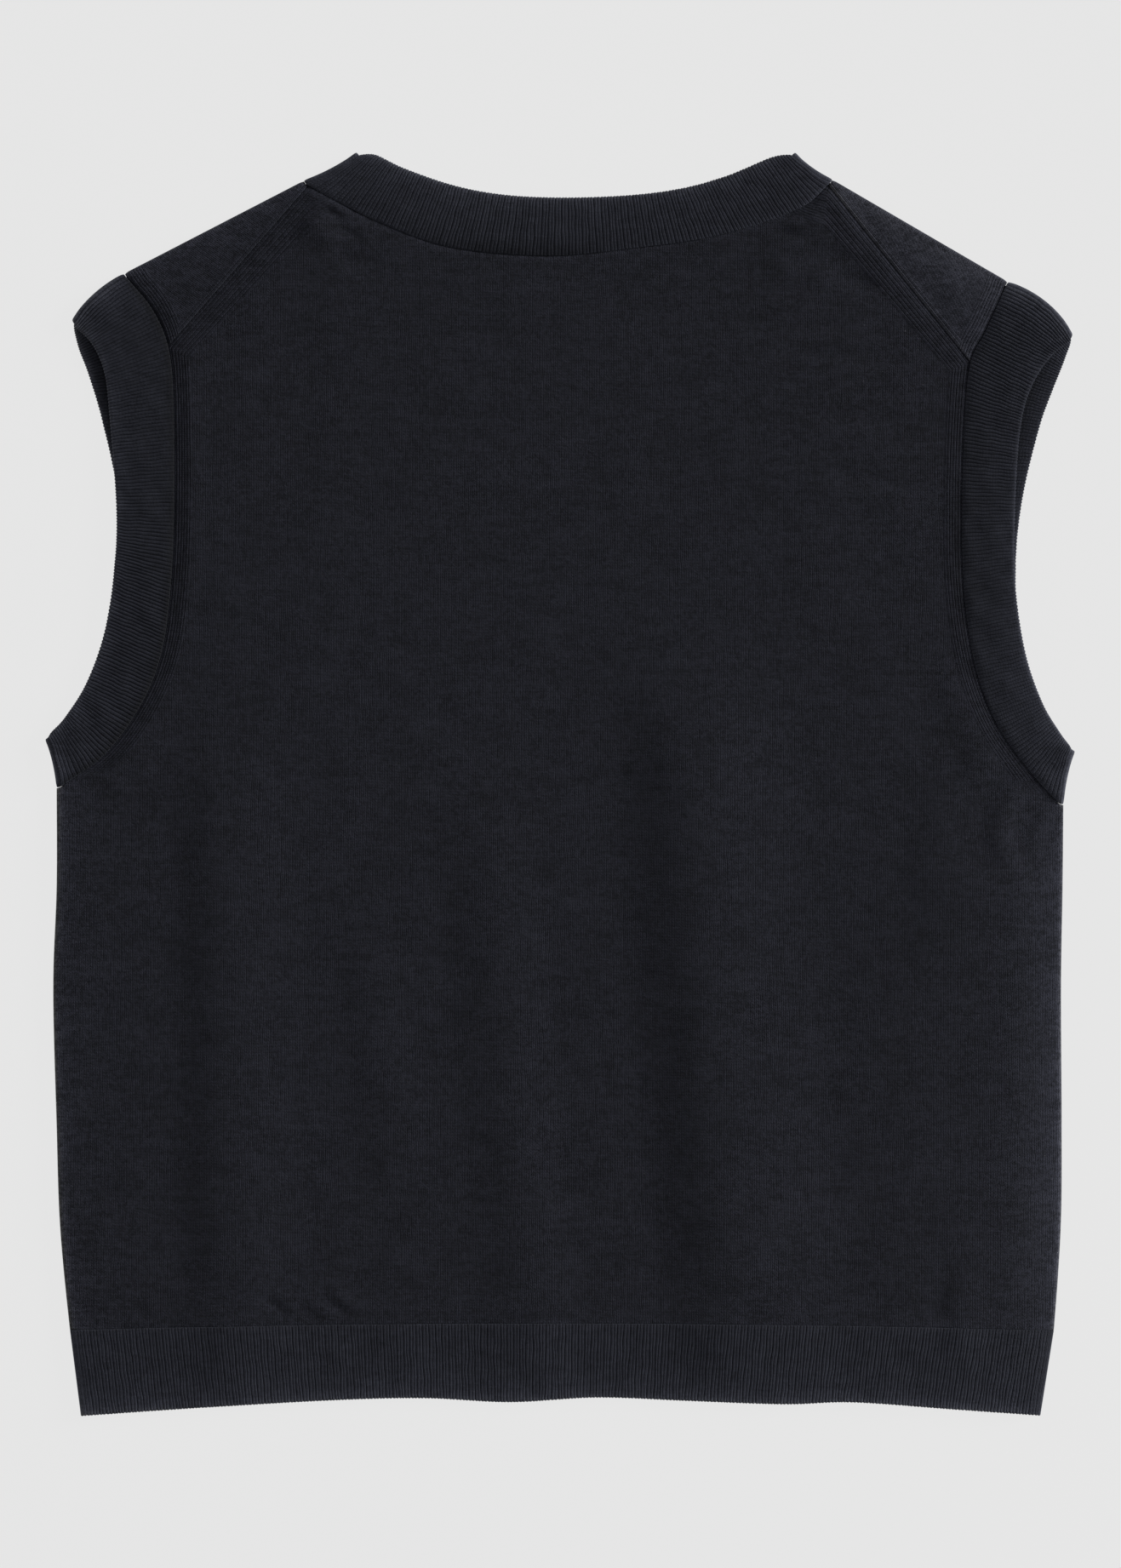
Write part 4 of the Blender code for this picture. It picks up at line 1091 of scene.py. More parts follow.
# ---------------------------------------------------------------- ribs
@dataclass(frozen=True)
class RibForm:
    """The section of one-by-one rib knit, and how it changes between the two layers."""

    steps: int = 8              # columns in each rib: a knit wale and a purl wale
    upper_half: float = 0.65    # half of the thickness in the grooves
    lower_half: float = 0.50
    lower_rise: float = 0.30    # how far the wales stand out below
    back_rise: float = 0.28     # and those of the other face
    edge_swell: float = 0.40    # how far each wale bulges over the free edge
    head_swell: float = 0.10    # and over the sewn edge, where that lies on another piece
    edge_round: float = 1.1     # the wall rounds off over this distance at its free edge
    upper_middle: float = 2.95
    lower_middle: float = 0.85

    def swing(self, facing: np.ndarray, upper: float, lower: float) -> np.ndarray:
        """Return a size for a facing of 1 upward, -1 downward or between."""
        return (upper + lower) / 2.0 + facing * (upper - lower) / 2.0

    def crest(self, ribs: np.ndarray, shallow: float) -> np.ndarray:
        """Return how far a rib number lies up a wale, from 0 to 1.

        Args:
            ribs: Rib numbers, with a deep groove at each whole one.
            shallow: Height of the groove between them.

        Returns:
            The heights.
        """
        groove = shallow * (1.0 - np.cos(math.tau * ribs)) / 2.0
        return groove + (1.0 - groove) * np.abs(np.sin(math.tau * ribs)) ** 0.6

    def bulge(self, share: np.ndarray, crest: np.ndarray, over: np.ndarray) -> np.ndarray:
        """Return how far the wales bulge past the edges, away from the sewn one.

        Args:
            share: Places from the sewn edge, 0, to the free edge, 1.
            crest: How far each place lies up a wale.
            over: 1 where the sewn edge lies on another piece, and 0 where it meets its end.

        Returns:
            The distances.
        """
        free = self.edge_swell * smooth(share * 12.0 - 11.0)
        return crest * (free - self.head_swell * over * smooth(1.0 - share * 12.0))

    def rounding(
        self,
        share: np.ndarray,
        width: float,
        left: float | np.ndarray,
        hollow: float | np.ndarray,
        sewn_round: float,
    ) -> tuple[np.ndarray, np.ndarray]:
        """Return how much of the thickness is left across a band.

        Args:
            share: Places from the sewn edge, 0, to the free edge, 1.
            width: Width of the band.
            left: Share of the thickness left at both edges.
            hollow: How far the wall thins from beneath at the sewn edge, from 0 to 1.
            sewn_round: Distance over which it rounds off at the sewn edge.

        Returns:
            The shares above and below the wall's middle.
        """
        sewn = rim(share * width, sewn_round, left)
        above = np.minimum(sewn, rim((1.0 - share) * width, self.edge_round, left))
        thinned = np.minimum(above, hollowed(share * width))
        return above, above + (thinned - above) * hollow


RIB = RibForm()


@dataclass
class RibBand:
    """A rib band as one ring, folded flat at both its ends."""

    name: str
    halves: tuple[BandHalf, BandHalf]
    pitch: float
    width: float
    shallow: float
    puff: float = 0.35
    rise: float = 0.36              # how far the wales of the upper half stand out
    row_step: float = 2.4
    fold_steps: int = 8
    seam_round: float = 2.2         # the band rounds off over this distance at its sewn edge
    tip_round: float = 1.2          # how far its free edge draws back at a fold
    sag: float = 0.0                # how much lower the sewn edge lies along one stretch, and how much painted shade darkens it there
    sag_at: float = -20.0
    sag_half: float = 40.0
    sag_reach: float = 4.0
    # the colour's factors: the yarn's own tone, with painted light and shade where they differ along a
    # band
    tones: tuple[float, float, float] = (0.93, 0.93, 0.93)  # at underarm, arm and shoulder
    rim_highlight: tuple[float, float] = (1.8, 1.8)      # painted highlight along the free edge, below and above; below 0 it paints shade
    fold_highlight: float = 0.0         # painted highlight along the shoulder's fold
    underarm_calm: float = 0.0      # how much shallower the grooves are by the underarm
    calm_reach: float = 27.0
    groove_shade: float = 0.05      # how much darker the grooves are
    lip_shade: float = -0.3         # and the wales' heads along the sewn edge
    lip_reach: float = 1.2
    seed: int = 0

    def columns(self) -> tuple[np.ndarray, ...]:
        """Return the sections, facings, fold directions and rib numbers round the ring."""
        back, front = self.halves
        angles = math.pi / 2.0 - math.pi * np.arange(1, self.fold_steps) / self.fold_steps
        fold_ribs = np.arange(1, self.fold_steps) / self.fold_steps
        parts = []
        ribs = 0.0
        for half, forward in ((back, True), (front, False)):
            rows = half.rib_rows(self.pitch, RIB.steps)
            rows = rows if forward else rows[::-1]
            facing = np.full(len(rows), 1.0 if forward else -1.0)
            numbers = ribs + np.arange(len(rows)) / RIB.steps
            parts.append((half.across(rows), facing * math.pi / 2.0, None, numbers))
            ribs = numbers[-1]
            last = half.last if forward else 0.0
            out = back.outward[1 if forward else 0]
            section = np.repeat(back.across(np.array([last])), len(angles), axis=0)
            parts.append((section, angles if forward else -angles, out, ribs + fold_ribs))
            ribs += 1.0
        parts.append((parts[0][0][:1], parts[0][1][:1], None, np.array([ribs])))
        sections = np.concatenate([part[0] for part in parts])
        turned = np.concatenate([part[1] for part in parts])
        outs = [np.zeros(2) if part[2] is None else part[2] for part in parts]
        outward = np.concatenate([np.tile(out, (len(p[1]), 1)) for out, p in zip(outs, parts)])
        return sections, turned, outward, np.concatenate([part[3] for part in parts])

    def tone_and_painted_light(
        self, y: np.ndarray, share: np.ndarray, facing: np.ndarray, crest: np.ndarray, to_fold: np.ndarray
    ) -> np.ndarray:
        """Return factors for the colour: the band's own tone, with painted light and shade.

        Args:
            y: Height of each place.
            share: Places from the sewn edge, 0, to the free edge, 1.
            facing: 1 on the upper half, -1 on the lower one, or between.
            crest: How far each place lies up a wale.
            to_fold: Distance from the nearer fold.

        Returns:
            The factors.
        """
        low, middle, high = self.tones
        tone = middle + (low - middle) * smooth((90.0 - y) / 70.0)
        tone = tone + (high - middle) * smooth((y - 150.0) / 50.0)
        rim_highlight = self.rim_highlight[1] + (self.rim_highlight[0] - self.rim_highlight[1]) * smooth((150.0 - y) / 90.0)
        tone = tone * painted_rim_light(np.minimum((1.0 - share) * self.width, to_fold), rim_highlight)
        wide_highlight = self.fold_highlight * smooth((y - 150.0) / 50.0)
        tone = tone * (1.0 + wide_highlight * np.exp(-to_fold / 6.0))
        tone = tone * (1.0 - self.lip_shade * np.exp(-((share * self.width / self.lip_reach) ** 2)))
        # painted shade on the lower half, which lies under the upper one, turning to a painted highlight
        # at its free edge
        inside = 0.5 + 0.75 * smooth((share - 0.6) / 0.4)
        tone = tone * (inside + (1.0 - inside) * (1.0 + facing) / 2.0)
        return tone * (1.0 - self.groove_shade * (1.0 - crest))

    def build(self) -> bpy.types.Object:
        """Build the band as a wall and return it."""
        sections, angles, outward, ribs = self.columns()
        share = spaced(self.width, self.row_step, BAND_EDGE, BAND_EDGE)[:, None, None]
        seam, middle, edge = (sections[None, :, k] for k in range(3))
        places = (
            seam * (1.0 - share) * (1.0 - 2.0 * share)
            + middle * 4.0 * share * (1.0 - share)
            + edge * share * (2.0 * share - 1.0)
        )
        share = share[..., 0]
        facing = np.sin(angles)[None]
        turned = np.cos(angles)[None]
        crest = RIB.crest(ribs, self.shallow)[None]
        ease = smooth(share * 4.0)
        loose = np.abs(facing) ** 6
        across = (sections[:, 2] - sections[:, 0])[None]
        across = across / np.linalg.norm(across, axis=-1)[..., None]
        sway = 0.18 * ripple(places, 9.0, 9.0, self.seed + 1) * ease * loose
        places = places + np.stack([-across[..., 1], across[..., 0]], axis=-1) * sway[..., None]
        ends = [Line(self.halves[0].across(np.array([row]))[0]) for row in (0.0, self.halves[0].last)]
        to_fold = nearest(ends, places) + RIB_FOLD * (1.0 - turned)
        calm = self.underarm_calm * np.exp(-((ends[1].beside(places)[0] / self.calm_reach) ** 2))
        crest = crest + (1.0 - crest) * calm
        tip = self.tip_round * np.exp(-((to_fold / 2.2) ** 2)) * smooth(share * 4.0 - 3.0)
        hollow = np.clip(facing, 0.0, 1.0)
        places = places + across * (RIB.bulge(share, crest, hollow) - tip)[..., None]
        edge_distance = np.minimum(share, 1.0 - share) * self.width
        radius = RIB.swing(facing, RIB.upper_middle - RIB_FOLD, RIB_FOLD - RIB.lower_middle)
        lift = np.sin(math.pi * share) * self.puff + 0.16 * ripple(places, 16.0, 16.0, self.seed + 2)
        lift = lift * smooth(edge_distance / 3.0)
        stretch = np.exp(-(((places[..., 0] - self.sag_at) / self.sag_half) ** 4))
        sag = stretch * np.exp(-((share * self.width / self.sag_reach) ** 2))
        lift = (lift - self.sag * sag) * hollow ** 2
        left_over = RIM_LEFT + (FOLD_RIM_LEFT - RIM_LEFT) * (1.0 - np.abs(facing))
        above, below = RIB.rounding(share, self.width, left_over, hollow, self.seam_round)
        half = RIB.swing(facing, RIB.upper_half, RIB.lower_half)
        rise = RIB.swing(facing, self.rise, RIB.lower_rise) * crest
        groove = RIB.back_rise * RIB.crest(ribs + 0.5, self.shallow)[None]
        grids = []
        for reach in (radius + (half + rise) * above, radius - (half + groove) * below):
            around = places + outward[None] * (turned * reach)[..., None]
            grids.append(raised(around, RIB_FOLD + facing * reach + lift))
        tone = self.tone_and_painted_light(places[..., 1], share, facing, crest, to_fold)
        # painted shade where the sewn edge sags
        tone = tone * (1.0 - 1.3 * self.sag * sag)
        wales = np.broadcast_to(2.0 * ribs[None], places.shape[:-1])
        courses = np.broadcast_to(share * self.width / COURSE, places.shape[:-1])
        stitches = np.stack([wales, courses + 0.3 * ripple(places, 8.0, 8.0, 9)], axis=-1)
        return Cloth(grids[0], grids[1], stitches, None, tone).wall(self.name)


@dataclass
class HemRib:
    """The ribbed hem of one layer."""

    name: str
    layer: Layer
    pitch: float = 2.86
    depth: float = 34.0
    shallow: float = 0.35
    row_step: float = 2.9
    foot_share: float = 0.35
    side_reach: float = 2.4
    rise: float = 0.32
    seam_round: float = 2.2
    lip_shade: float = 0.2          # how much darker the wales' heads along the seam are
    lip_reach: float = 1.2
    right_shade: float = 0.32       # and the cloth at its right end
    shade_reach: float = 13.0

    def build(self) -> bpy.types.Object:
        """Build the hem as a wall and return it."""
        upper = self.layer is Layer.UPPER
        way = float(self.layer.value)
        top_y = float(hem_top(HALF_WIDTH))
        ends = np.array([side_x(np.array([top_y]), True)[0], side_x(np.array([top_y]), False)[0]])
        count = round((ends[1] - ends[0]) / self.pitch)
        along = np.linspace(0.0, 1.0, count * RIB.steps + 1)[None]
        share = spaced(self.depth, self.row_step, BAND_EDGE, BAND_EDGE)[:, None]
        top_x = ends[0] + (ends[1] - ends[0]) * along
        foot_x = HEM_FOOT_X[0] + (HEM_FOOT_X[-1] - HEM_FOOT_X[0]) * along
        foot_y = smooth_table(foot_x, HEM_FOOT_X, HEM_FOOT_Y)
        x = top_x * (1.0 - share) + foot_x * share
        y = hem_top(top_x) * (1.0 - share) + foot_y * share
        ribs = np.broadcast_to(along * count, x.shape)
        crest = RIB.crest(ribs, self.shallow)
        places = np.stack([x, y], axis=-1)
        left_distance, right_distance = x - x[:, :1], x[:, -1:] - x
        side_distance = np.minimum(left_distance, right_distance)
        edge_distance = np.minimum(share, 1.0 - share) * self.depth * np.ones_like(x)
        calm = smooth(side_distance / 6.0)
        places[..., 0] += 0.22 * ripple(places, 10.0, 14.0, 31) * smooth(share * 4.0) * calm
        hollow = calm * float(upper)
        places[..., 1] -= RIB.bulge(share, crest, hollow)
        above, below = RIB.rounding(share, self.depth, RIM_LEFT, hollow, self.seam_round)
        side_rim = rim(side_distance, RIB.edge_round)
        half = RIB.swing(way, RIB.upper_half, RIB.lower_half)
        rise = RIB.swing(way, self.rise, RIB.lower_rise) * crest * calm
        groove = RIB.back_rise * RIB.crest(ribs + 0.5, self.shallow) * calm
        base = RIB.swing(way, RIB.upper_middle, RIB.lower_middle) * np.ones_like(x)
        if upper:
            seam = np.stack([top_x, hem_top(top_x)], axis=-1)
            kept = 1.0 - (1.0 - self.foot_share) * smooth(share)
            base = base + LIE.folds(seam) * kept
            base = base + 0.14 * ripple(places, 22.0, 15.0, 33) * smooth(edge_distance / 3.0)
        side_height = SIDE_SEAM + way * SIDE_APART
        middle = side_height + (base - side_height) * rim(side_distance, self.side_reach)
        outer = raised(places, middle + way * (half + rise) * np.minimum(above, side_rim))
        inner = raised(places, middle - way * (half + groove) * np.minimum(below, side_rim))
        courses = share * self.depth / COURSE * np.ones_like(x)
        stitches = np.stack([2.0 * ribs, courses], axis=-1)
        # painted highlight along the free edge and the left end, painted shade at the right end and along
        # the seam
        tone = painted_rim_light((1.0 - share) * self.depth) * painted_rim_light(left_distance, 1.0, 0.3)
        tone = tone * (1.0 - self.right_shade * np.exp(-right_distance / self.shade_reach))
        tone = tone * (1.0 - self.lip_shade * np.exp(-((share * self.depth / self.lip_reach) ** 2)))
        return Cloth(outer, inner, stitches, None, tone).wall(self.name)


# ---------------------------------------------------------------- finishes
class Board:
    """Adds nodes to a node tree and joins them."""

    def __init__(self, tree: bpy.types.NodeTree) -> None:
        """Keep the tree."""
        self.tree = tree

    def add(
        self, kind: str, inputs: dict[str | int, object] | None = None, **settings: object
    ) -> bpy.types.Node:
        """Add a node.

        Args:
            kind: The node's type name.
            inputs: Sockets to join or values to set on its inputs, by name or number.
            **settings: Properties of the node.

        Returns:
            The node.
        """
        node = self.tree.nodes.new(kind)
        for key, value in settings.items():
            setattr(node, key, value)
        for key, value in (inputs or {}).items():
            if isinstance(value, bpy.types.NodeSocket):
                self.tree.links.new(value, node.inputs[key])
            else:
                node.inputs[key].default_value = value
        return node

    def math(self, operation: str, first: object, second: object = 0.0) -> bpy.types.NodeSocket:
        """Add a Math node and return its result."""
        node = self.add("ShaderNodeMath", {0: first, 1: second}, operation=operation)
        return node.outputs[0]

    def blend(self, share: object, first: object, second: object) -> bpy.types.NodeSocket:
        """Add a Mix node for numbers and return its result."""
        node = self.add("ShaderNodeMix", {0: share, 2: first, 3: second}, data_type="FLOAT")
        return node.outputs[0]

    def tint(self, share: object, first: object, second: object) -> bpy.types.NodeSocket:
        """Add a Mix node for colours and return its result."""
        node = self.add("ShaderNodeMix", {0: share, 6: first, 7: second}, data_type="RGBA")
        return node.outputs[2]


def new_group(
    name: str, inputs: dict[str, str], outputs: dict[str, str]
) -> tuple[Board, bpy.types.Node, bpy.types.Node]:
    """Start a node group.

    Args:
        name: Name of the group.
        inputs: Socket types by name.
        outputs: Socket types by name.

    Returns:
        A board on the group, its input node and its output node.
    """
    tree = bpy.data.node_groups.new(name, "ShaderNodeTree")
    for direction, sockets in (("INPUT", inputs), ("OUTPUT", outputs)):
        for socket_name, kind in sockets.items():
            tree.interface.new_socket(socket_name, in_out=direction, socket_type=kind)
    board = Board(tree)
    return board, board.add("NodeGroupInput"), board.add("NodeGroupOutput")


def stitch_group() -> bpy.types.NodeTree:
    """Build knit stitches, from wale and course numbers: their relief, and a tone for each."""
    board, source, result = new_group(
        "knit_stitches",
        {"Numbers": "NodeSocketVector"},
        {"Height": "NodeSocketFloat", "Tone": "NodeSocketFloat"},
    )
    parts = board.add("ShaderNodeSeparateXYZ", {0: source.outputs[0]})
    wale = board.math("FRACT", parts.outputs[0])
    off = board.math("MULTIPLY", board.math("ABSOLUTE", board.math("SUBTRACT", wale, 0.5)), 2.0)
    leg = board.math("ABSOLUTE", board.math("SUBTRACT", board.math("MULTIPLY", off, 2.0), 1.0))
    leg = board.math("SUBTRACT", 1.0, board.math("MULTIPLY", leg, leg))
    course = board.math("ADD", parts.outputs[1], board.math("MULTIPLY", off, 0.5))
    loop = board.math("SINE", board.math("MULTIPLY", board.math("FRACT", course), math.pi))
    body = board.math("MULTIPLY", leg, board.math("ADD", board.math("MULTIPLY", loop, 0.6), 0.4))
    dome = board.math("MULTIPLY", board.math("SUBTRACT", 1.0, off), 0.25)
    legs = board.math("FLOOR", board.math("MULTIPLY", parts.outputs[0], 2.0))
    stitch = board.add("ShaderNodeCombineXYZ", {0: legs, 1: board.math("FLOOR", course)})
    chance = board.add("ShaderNodeTexWhiteNoise", {"Vector": stitch.outputs[0]})
    board.tree.links.new(board.math("ADD", body, dome), result.inputs[0])
    board.tree.links.new(chance.outputs[0], result.inputs[1])
    return board.tree


def fuzz_group() -> bpy.types.NodeTree:
    """Build the woolly unevenness of the yarn, from places on the vest."""
    board, source, result = new_group(
        "yarn_fuzz",
        {"Place": "NodeSocketVector"},
        {"Height": "NodeSocketFloat", "Tone": "NodeSocketFloat", "Fleck": "NodeSocketFloat"},
    )
    place = source.outputs[0]

    def noise(scale: float, stretch: tuple[float, float, float], detail: float) -> bpy.types.NodeSocket:
        """Add a noise of a scale per metre, stretched, and return it around 0."""
        mapped = board.add("ShaderNodeMapping", {"Vector": place, "Scale": stretch})
        node = board.add(
            "ShaderNodeTexNoise",
            {"Vector": mapped.outputs[0], "Scale": scale, "Detail": detail, "Roughness": 0.65},
        )
        return board.math("SUBTRACT", node.outputs[0], 0.5)

    fine = noise(1500.0, (1.0, 1.0, 1.0), 3.0)
    woolly = noise(620.0, (0.75, 1.2, 1.0), 2.0)
    slubs = noise(210.0, (0.45, 1.4, 1.0), 2.0)
    clouds = noise(60.0, (0.7, 1.2, 1.0), 2.0)
    flecks = noise(1150.0, (1.0, 1.0, 1.0), 2.0)
    height = board.math("ADD", board.math("MULTIPLY", fine, 0.6), board.math("MULTIPLY", woolly, 0.6))
    tone = board.math("MULTIPLY", fine, 1.1)
    for layer, weight in ((woolly, 2.3), (slubs, 1.4), (clouds, 0.6)):
        tone = board.math("ADD", tone, board.math("MULTIPLY", layer, weight))
    fleck = board.add("ShaderNodeMapRange", {0: flecks, 1: 0.25, 2: 0.30, 3: 0.0, 4: 1.0})
    for socket, value in zip(result.inputs, (height, tone, fleck.outputs[0])):
        board.tree.links.new(value, socket)
    return board.tree


@dataclass(frozen=True)
class KnitFinish:
    """The yarn's colour and surface, and how strongly one way of knitting shows in it."""

    knit: Knit
    dark: tuple[float, float, float, float] = (0.0039, 0.0042, 0.0066, 1.0)
    light: tuple[float, float, float, float] = (0.0119, 0.0125, 0.0186, 1.0)
    fleck: tuple[float, float, float, float] = (0.10, 0.10, 0.11, 1.0)
    roughness: float = 0.85
    gloss: float = 0.12
    sheen: float = 0.08
    sheen_roughness: float = 0.45
    sheen_tint: tuple[float, float, float, float] = (0.75, 0.82, 1.0, 1.0)
    greying: float = 0.2            # how much greyer the colour is where the tone paints it lighter
    base: float = 0.35
    gap_shade: float = 0.22             # painted shade: how much darker the gaps between stitches are
    mottle: float = 1.0             # how strongly the fuzz's tones show
    scatter: float = 0.50           # how much one stitch differs from the next
    stitch_depth: float = 0.17
    fuzz_depth: float = 0.40

    def material(self, stitches: bpy.types.NodeTree, fuzz: bpy.types.NodeTree) -> bpy.types.Material:
        """Build the material.

        Args:
            stitches: The group of knit_stitches.
            fuzz: The group of yarn_fuzz.

        Returns:
            The material.
        """
        material = bpy.data.materials.new(self.knit.value + "_knit")
        material.use_nodes = True
        board = Board(material.node_tree)
        shader = material.node_tree.nodes["Principled BSDF"]
        numbers = board.add("ShaderNodeUVMap", uv_map="stitches")
        relief = board.add("ShaderNodeGroup", {}, node_tree=stitches)
        board.tree.links.new(numbers.outputs[0], relief.inputs[0])
        height, chance = relief.outputs
        deep = 0.0
        if self.knit is Knit.JERSEY:
            trim = board.add("ShaderNodeAttribute", attribute_name="trim")
            shows = board.add("ShaderNodeSeparateXYZ", {0: trim.outputs["Vector"]}).outputs[2]
            edge_relief = board.add("ShaderNodeGroup", {}, node_tree=stitches)
            board.tree.links.new(trim.outputs["Vector"], edge_relief.inputs[0])
            height = board.blend(shows, height, edge_relief.outputs[0])
            # painted shade deep between the bold wales of a fashioned edge
            deep = board.math("MULTIPLY", shows, 0.6)
        place = board.add("ShaderNodeTexCoord").outputs["Object"]
        yarn = board.add("ShaderNodeGroup", {}, node_tree=fuzz)
        board.tree.links.new(place, yarn.inputs[0])
        # the tone attribute: the yarn's own tone, with painted light and shade
        tone = board.add("ShaderNodeAttribute", attribute_name="tone").outputs["Fac"]
        gap_shade = board.math("MULTIPLY", height, board.math("ADD", deep, self.gap_shade))
        scatter = board.math("MULTIPLY", board.math("SUBTRACT", chance, 0.5), self.scatter)
        share = board.math("SUBTRACT", self.base, board.math("MULTIPLY", deep, 0.55))
        mottle = board.math("MULTIPLY", yarn.outputs[1], self.mottle)
        for part in (gap_shade, scatter, mottle):
            share = board.math("ADD", share, part)
        colour = board.tint(share, self.dark, self.light)
        colour = board.tint(yarn.outputs[2], colour, self.fleck)
        toned = board.add("ShaderNodeVectorMath", {0: colour, "Scale": tone}, operation="SCALE")
        grey = board.add("ShaderNodeRGBToBW", {0: toned.outputs[0]})
        pale = board.math("MULTIPLY", board.math("SUBTRACT", tone, 1.0), self.greying)
        surface = board.tint(pale, toned.outputs[0], grey.outputs[0])
        board.tree.links.new(surface, shader.inputs["Base Color"])
        raised_height = board.math("MULTIPLY", height, self.stitch_depth)
        whole = board.math(
            "ADD", raised_height, board.math("MULTIPLY", yarn.outputs[0], self.fuzz_depth)
        )
        bump = board.add("ShaderNodeBump", {"Height": whole, "Distance": MM, "Strength": 1.0})
        board.tree.links.new(bump.outputs[0], shader.inputs["Normal"])
        shader.inputs["Roughness"].default_value = self.roughness
        shader.inputs["Specular IOR Level"].default_value = self.gloss
        shader.inputs["Sheen Weight"].default_value = self.sheen
        shader.inputs["Sheen Roughness"].default_value = self.sheen_roughness
        shader.inputs["Sheen Tint"].default_value = self.sheen_tint
        return material


JERSEY_FINISH = KnitFinish(Knit.JERSEY)
RIB_FINISH = KnitFinish(
    Knit.RIB,
    dark=(0.0062, 0.0067, 0.0098, 1.0),
    light=(0.0180, 0.0192, 0.0268, 1.0),
    base=0.38,
    gap_shade=0.30,
    mottle=0.6,
    scatter=0.12,
    stitch_depth=0.13,
    fuzz_depth=0.22,
)


# ---------------------------------------------------------------- studio
@dataclass(frozen=True)
class SoftSun:
    """A soft light from one direction."""

    name: str
    azimuth: float
    elevation: float
    strength: float
    softness: float

    def build(self) -> None:
        """Add the light. Its azimuth is counted from +X towards +Y, in degrees."""
        data = bpy.data.lights.new(self.name, "SUN")
        data.energy = self.strength
        data.angle = math.radians(self.softness)
        light = bpy.data.objects.new(self.name, data)
        bpy.context.scene.collection.objects.link(light)
        turn, up = math.radians(self.azimuth), math.radians(self.elevation)
        towards = Vector((math.cos(up) * math.cos(turn), math.cos(up) * math.sin(turn), math.sin(up)))
        light.rotation_euler = towards.to_track_quat("Z", "Y").to_euler()


@dataclass(frozen=True)
class SidePanel:
    """A soft light panel that stands low beside the vest and faces it."""

    place: tuple[float, float, float]
    target: tuple[float, float, float]
    size: float
    power: float

    def build(self) -> None:
        """Add the panel. Only its light is seen."""
        data = bpy.data.lights.new("side_panel", "AREA")
        data.shape = "SQUARE"
        data.size = self.size
        data.energy = self.power
        light = bpy.data.objects.new("side_panel", data)
        bpy.context.scene.collection.objects.link(light)
        light.location = self.place
        back = Vector(self.place) - Vector(self.target)
        light.rotation_euler = back.to_track_quat("Z", "Y").to_euler()
        light.visible_camera = False


@dataclass(frozen=True)
class Studio:
    """A pale floor, soft light and the camera straight above."""

    image_height: int = 1842
    mm_per_pixel: float = 0.3729
    centre_x: float = 0.19
    centre_y: float = -0.37
    camera_height: float = 3.4
    sensor: float = 36.0
    floor_half: float = 7.0
    floor_albedo: float = 0.02
    floor_glow: float = 0.772
    sky: float = 0.26

    def build(self) -> None:
        """Add the floor, the lights and the camera."""
        self.floor()
        SoftSun("key", 18.0, 16.0, 5.6, 20.0).build()
        SoftSun("left_fill", 165.0, 8.0, 1.3, 25.0).build()
        SidePanel((0.50, -0.30, 0.10), (0.15, -0.14, 0.0), 0.2, 0.85).build()
        world = bpy.data.worlds.new("studio")
        world.use_nodes = True
        world.node_tree.nodes["Background"].inputs[0].default_value = (1.0, 1.0, 1.0, 1.0)
        world.node_tree.nodes["Background"].inputs[1].default_value = self.sky
        bpy.context.scene.world = world
        bpy.context.scene.view_settings.view_transform = "Standard"
        self.camera()

    def floor(self) -> None:
        """Add the pale floor, which glows a little as a lit table does."""
        mesh = bmesh.new()
        bmesh.ops.create_grid(mesh, x_segments=2, y_segments=2, size=self.floor_half)
        bmesh.ops.translate(mesh, verts=mesh.verts, vec=(0.0, 0.0, -0.0003))
        floor = finished("floor", mesh)
        material = bpy.data.materials.new("pale_floor")
        material.use_nodes = True
        shader = material.node_tree.nodes["Principled BSDF"]
        shader.inputs["Base Color"].default_value = (self.floor_albedo,) * 3 + (1.0,)
        shader.inputs["Roughness"].default_value = 1.0
        shader.inputs["Specular IOR Level"].default_value = 0.0
        shader.inputs["Emission Color"].default_value = (1.0, 1.0, 1.0, 1.0)
        shader.inputs["Emission Strength"].default_value = self.floor_glow
        floor.data.materials.append(material)

    def camera(self) -> None:
        """Add the camera, which sees the whole image from straight above."""
        data = bpy.data.cameras.new("camera")
        data.sensor_width = self.sensor
        view_height = self.image_height * self.mm_per_pixel * MM
        data.lens = self.sensor * self.camera_height / view_height
        data.clip_end = 30.0
        camera = bpy.data.objects.new("camera", data)
        bpy.context.scene.collection.objects.link(camera)
        camera.location = (self.centre_x * MM, self.centre_y * MM, self.camera_height)
        bpy.context.scene.camera = camera


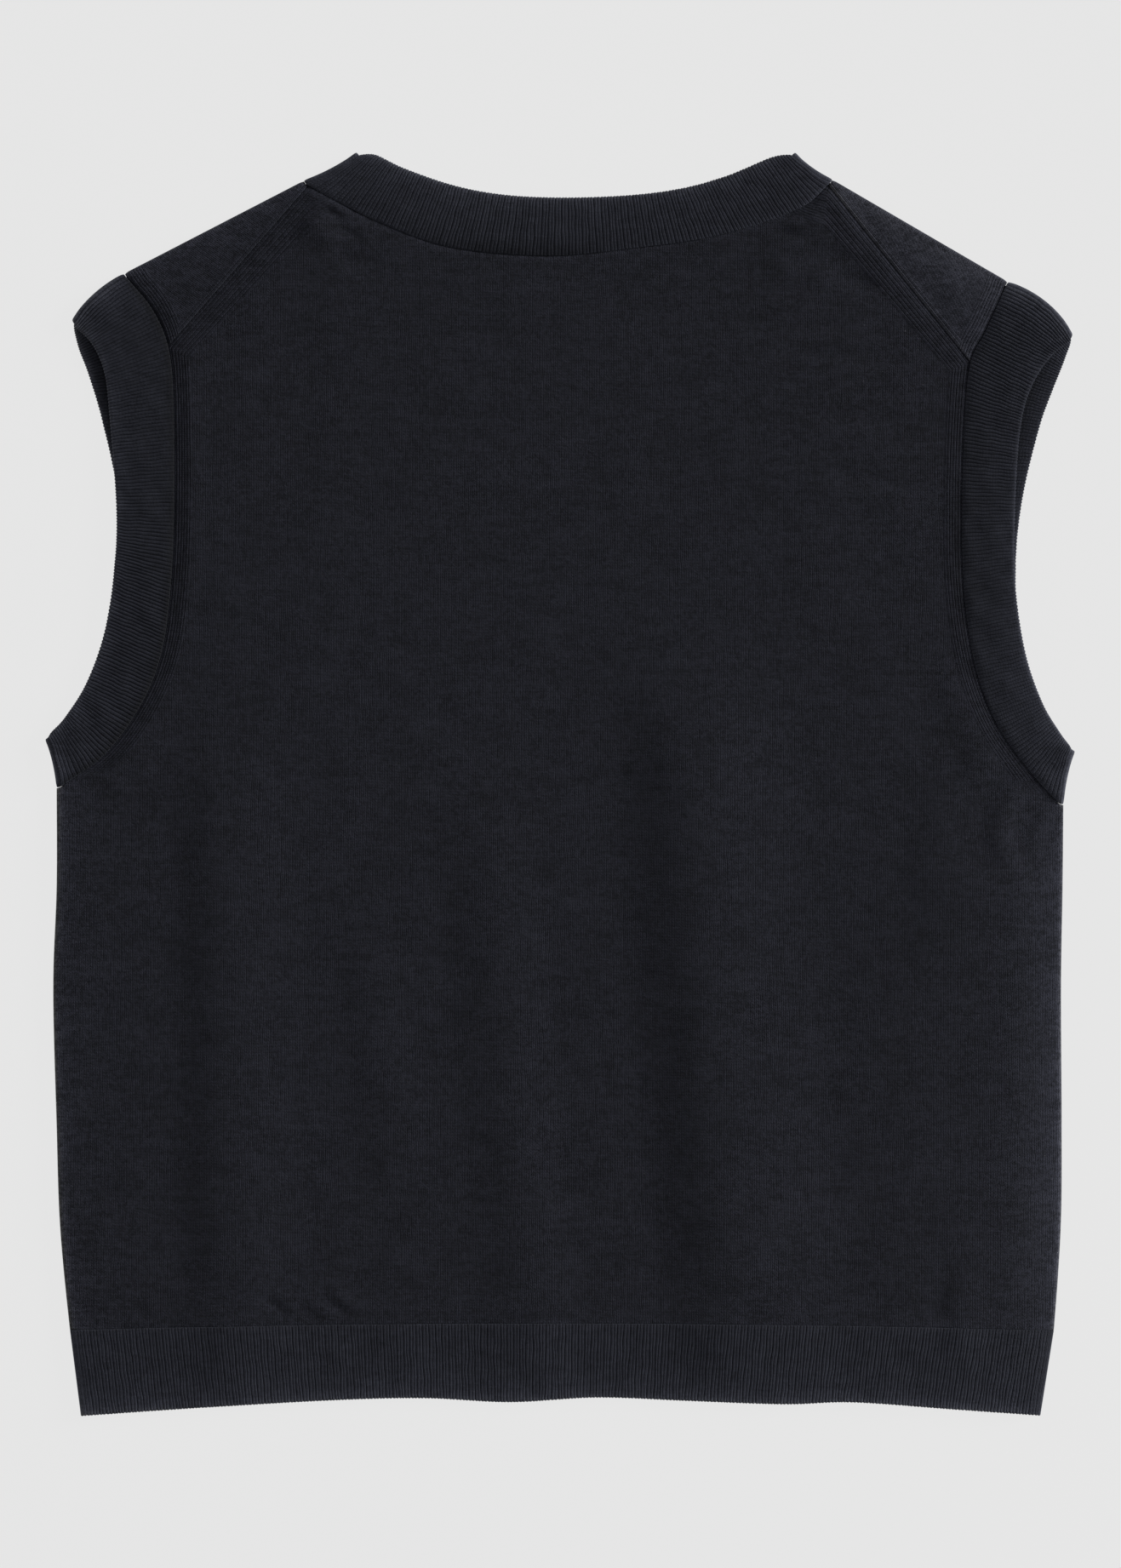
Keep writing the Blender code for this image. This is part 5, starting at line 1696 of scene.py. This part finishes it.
# ---------------------------------------------------------------- the vest
@dataclass
class Vest:
    """The whole vest: its seven pieces of cloth and their finishes."""

    band_width: float = 24.0
    neck_pitch: float = 2.95        # distance from one rib to the next
    neck_shallow: float = 0.4       # height of the shallow groove in each rib
    arm_pitch: float = 3.11
    arm_shallow: float = 0.12

    def build(self) -> None:
        """Build every piece, dress it and join it to the frame."""
        stitches, fuzz = stitch_group(), fuzz_group()
        jersey = JERSEY_FINISH.material(stitches, fuzz)
        rib = RIB_FINISH.material(stitches, fuzz)
        self.place(FrontPanel().build(), "front_panel", Knit.JERSEY, jersey, (0.444, 0.510), 0.170)
        self.place(BackPanel().build(), "back_panel", Knit.JERSEY, jersey, (0.444, 0.480), 0.165)
        for layer, node in ((Layer.LOWER, "front_hem_rib"), (Layer.UPPER, "back_hem_rib")):
            hem = HemRib(node + "_cloth", layer).build()
            self.place(hem, node, Knit.RIB, rib, (0.430, 0.036), None)
        neck = RibBand(
            "neck_band_cloth",
            NECK_HALVES,
            self.neck_pitch,
            self.band_width,
            self.neck_shallow,
            sag=0.35,
            seed=40,
        ).build()
        self.place(neck, "neck_band", Knit.RIB, rib, (0.530, 0.024), None)
        for band in (
            RibBand(
                "left_armhole_band_cloth",
                ARM_HALVES["left"],
                self.arm_pitch,
                self.band_width,
                self.arm_shallow,
                rise=0.52,
                tones=(0.92, 0.92, 0.92),
                rim_highlight=(2.8, 1.8),
                fold_highlight=1.0,
                underarm_calm=0.55,
                groove_shade=0.5,
                lip_shade=0.72,
                lip_reach=2.2,
                seed=50,
            ),
            RibBand(
                "right_armhole_band_cloth",
                ARM_HALVES["right"],
                self.arm_pitch,
                self.band_width,
                self.arm_shallow,
                puff=0.15,
                rise=0.52,
                seam_round=3.0,
                tones=(1.04, 0.86, 0.97),
                rim_highlight=(1.9, -0.5),
                fold_highlight=1.3,
                underarm_calm=0.55,
                groove_shade=0.5,
                seed=60,
            ),
        ):
            node = band.name.removesuffix("_cloth")
            self.place(band.build(), node, Knit.RIB, rib, (0.500, 0.024), None)

    def place(
        self,
        piece: bpy.types.Object,
        node: str,
        knit: Knit,
        material: bpy.types.Material,
        flat: tuple[float, float],
        area: float | None,
    ) -> None:
        """Dress a piece and let it stand for its CAD node.

        Args:
            piece: The wall of cloth.
            node: The node that it replaces.
            knit: How it is knitted; not used.
            material: Its finish.
            flat: Width and length of its cut, in metres; not used.
            area: The cut's area in square metres, where it isn't a rectangle; not used.
        """
        piece.data.materials.append(material)
        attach(piece, "root")
        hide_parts(node)
        LOG.info("%s: %d faces", piece.name, len(piece.data.polygons))


def main() -> None:
    """Build the vest and its studio."""
    logging.basicConfig(level=logging.INFO)
    Vest().build()
    Studio().build()


if __name__ == "__main__":
    main()
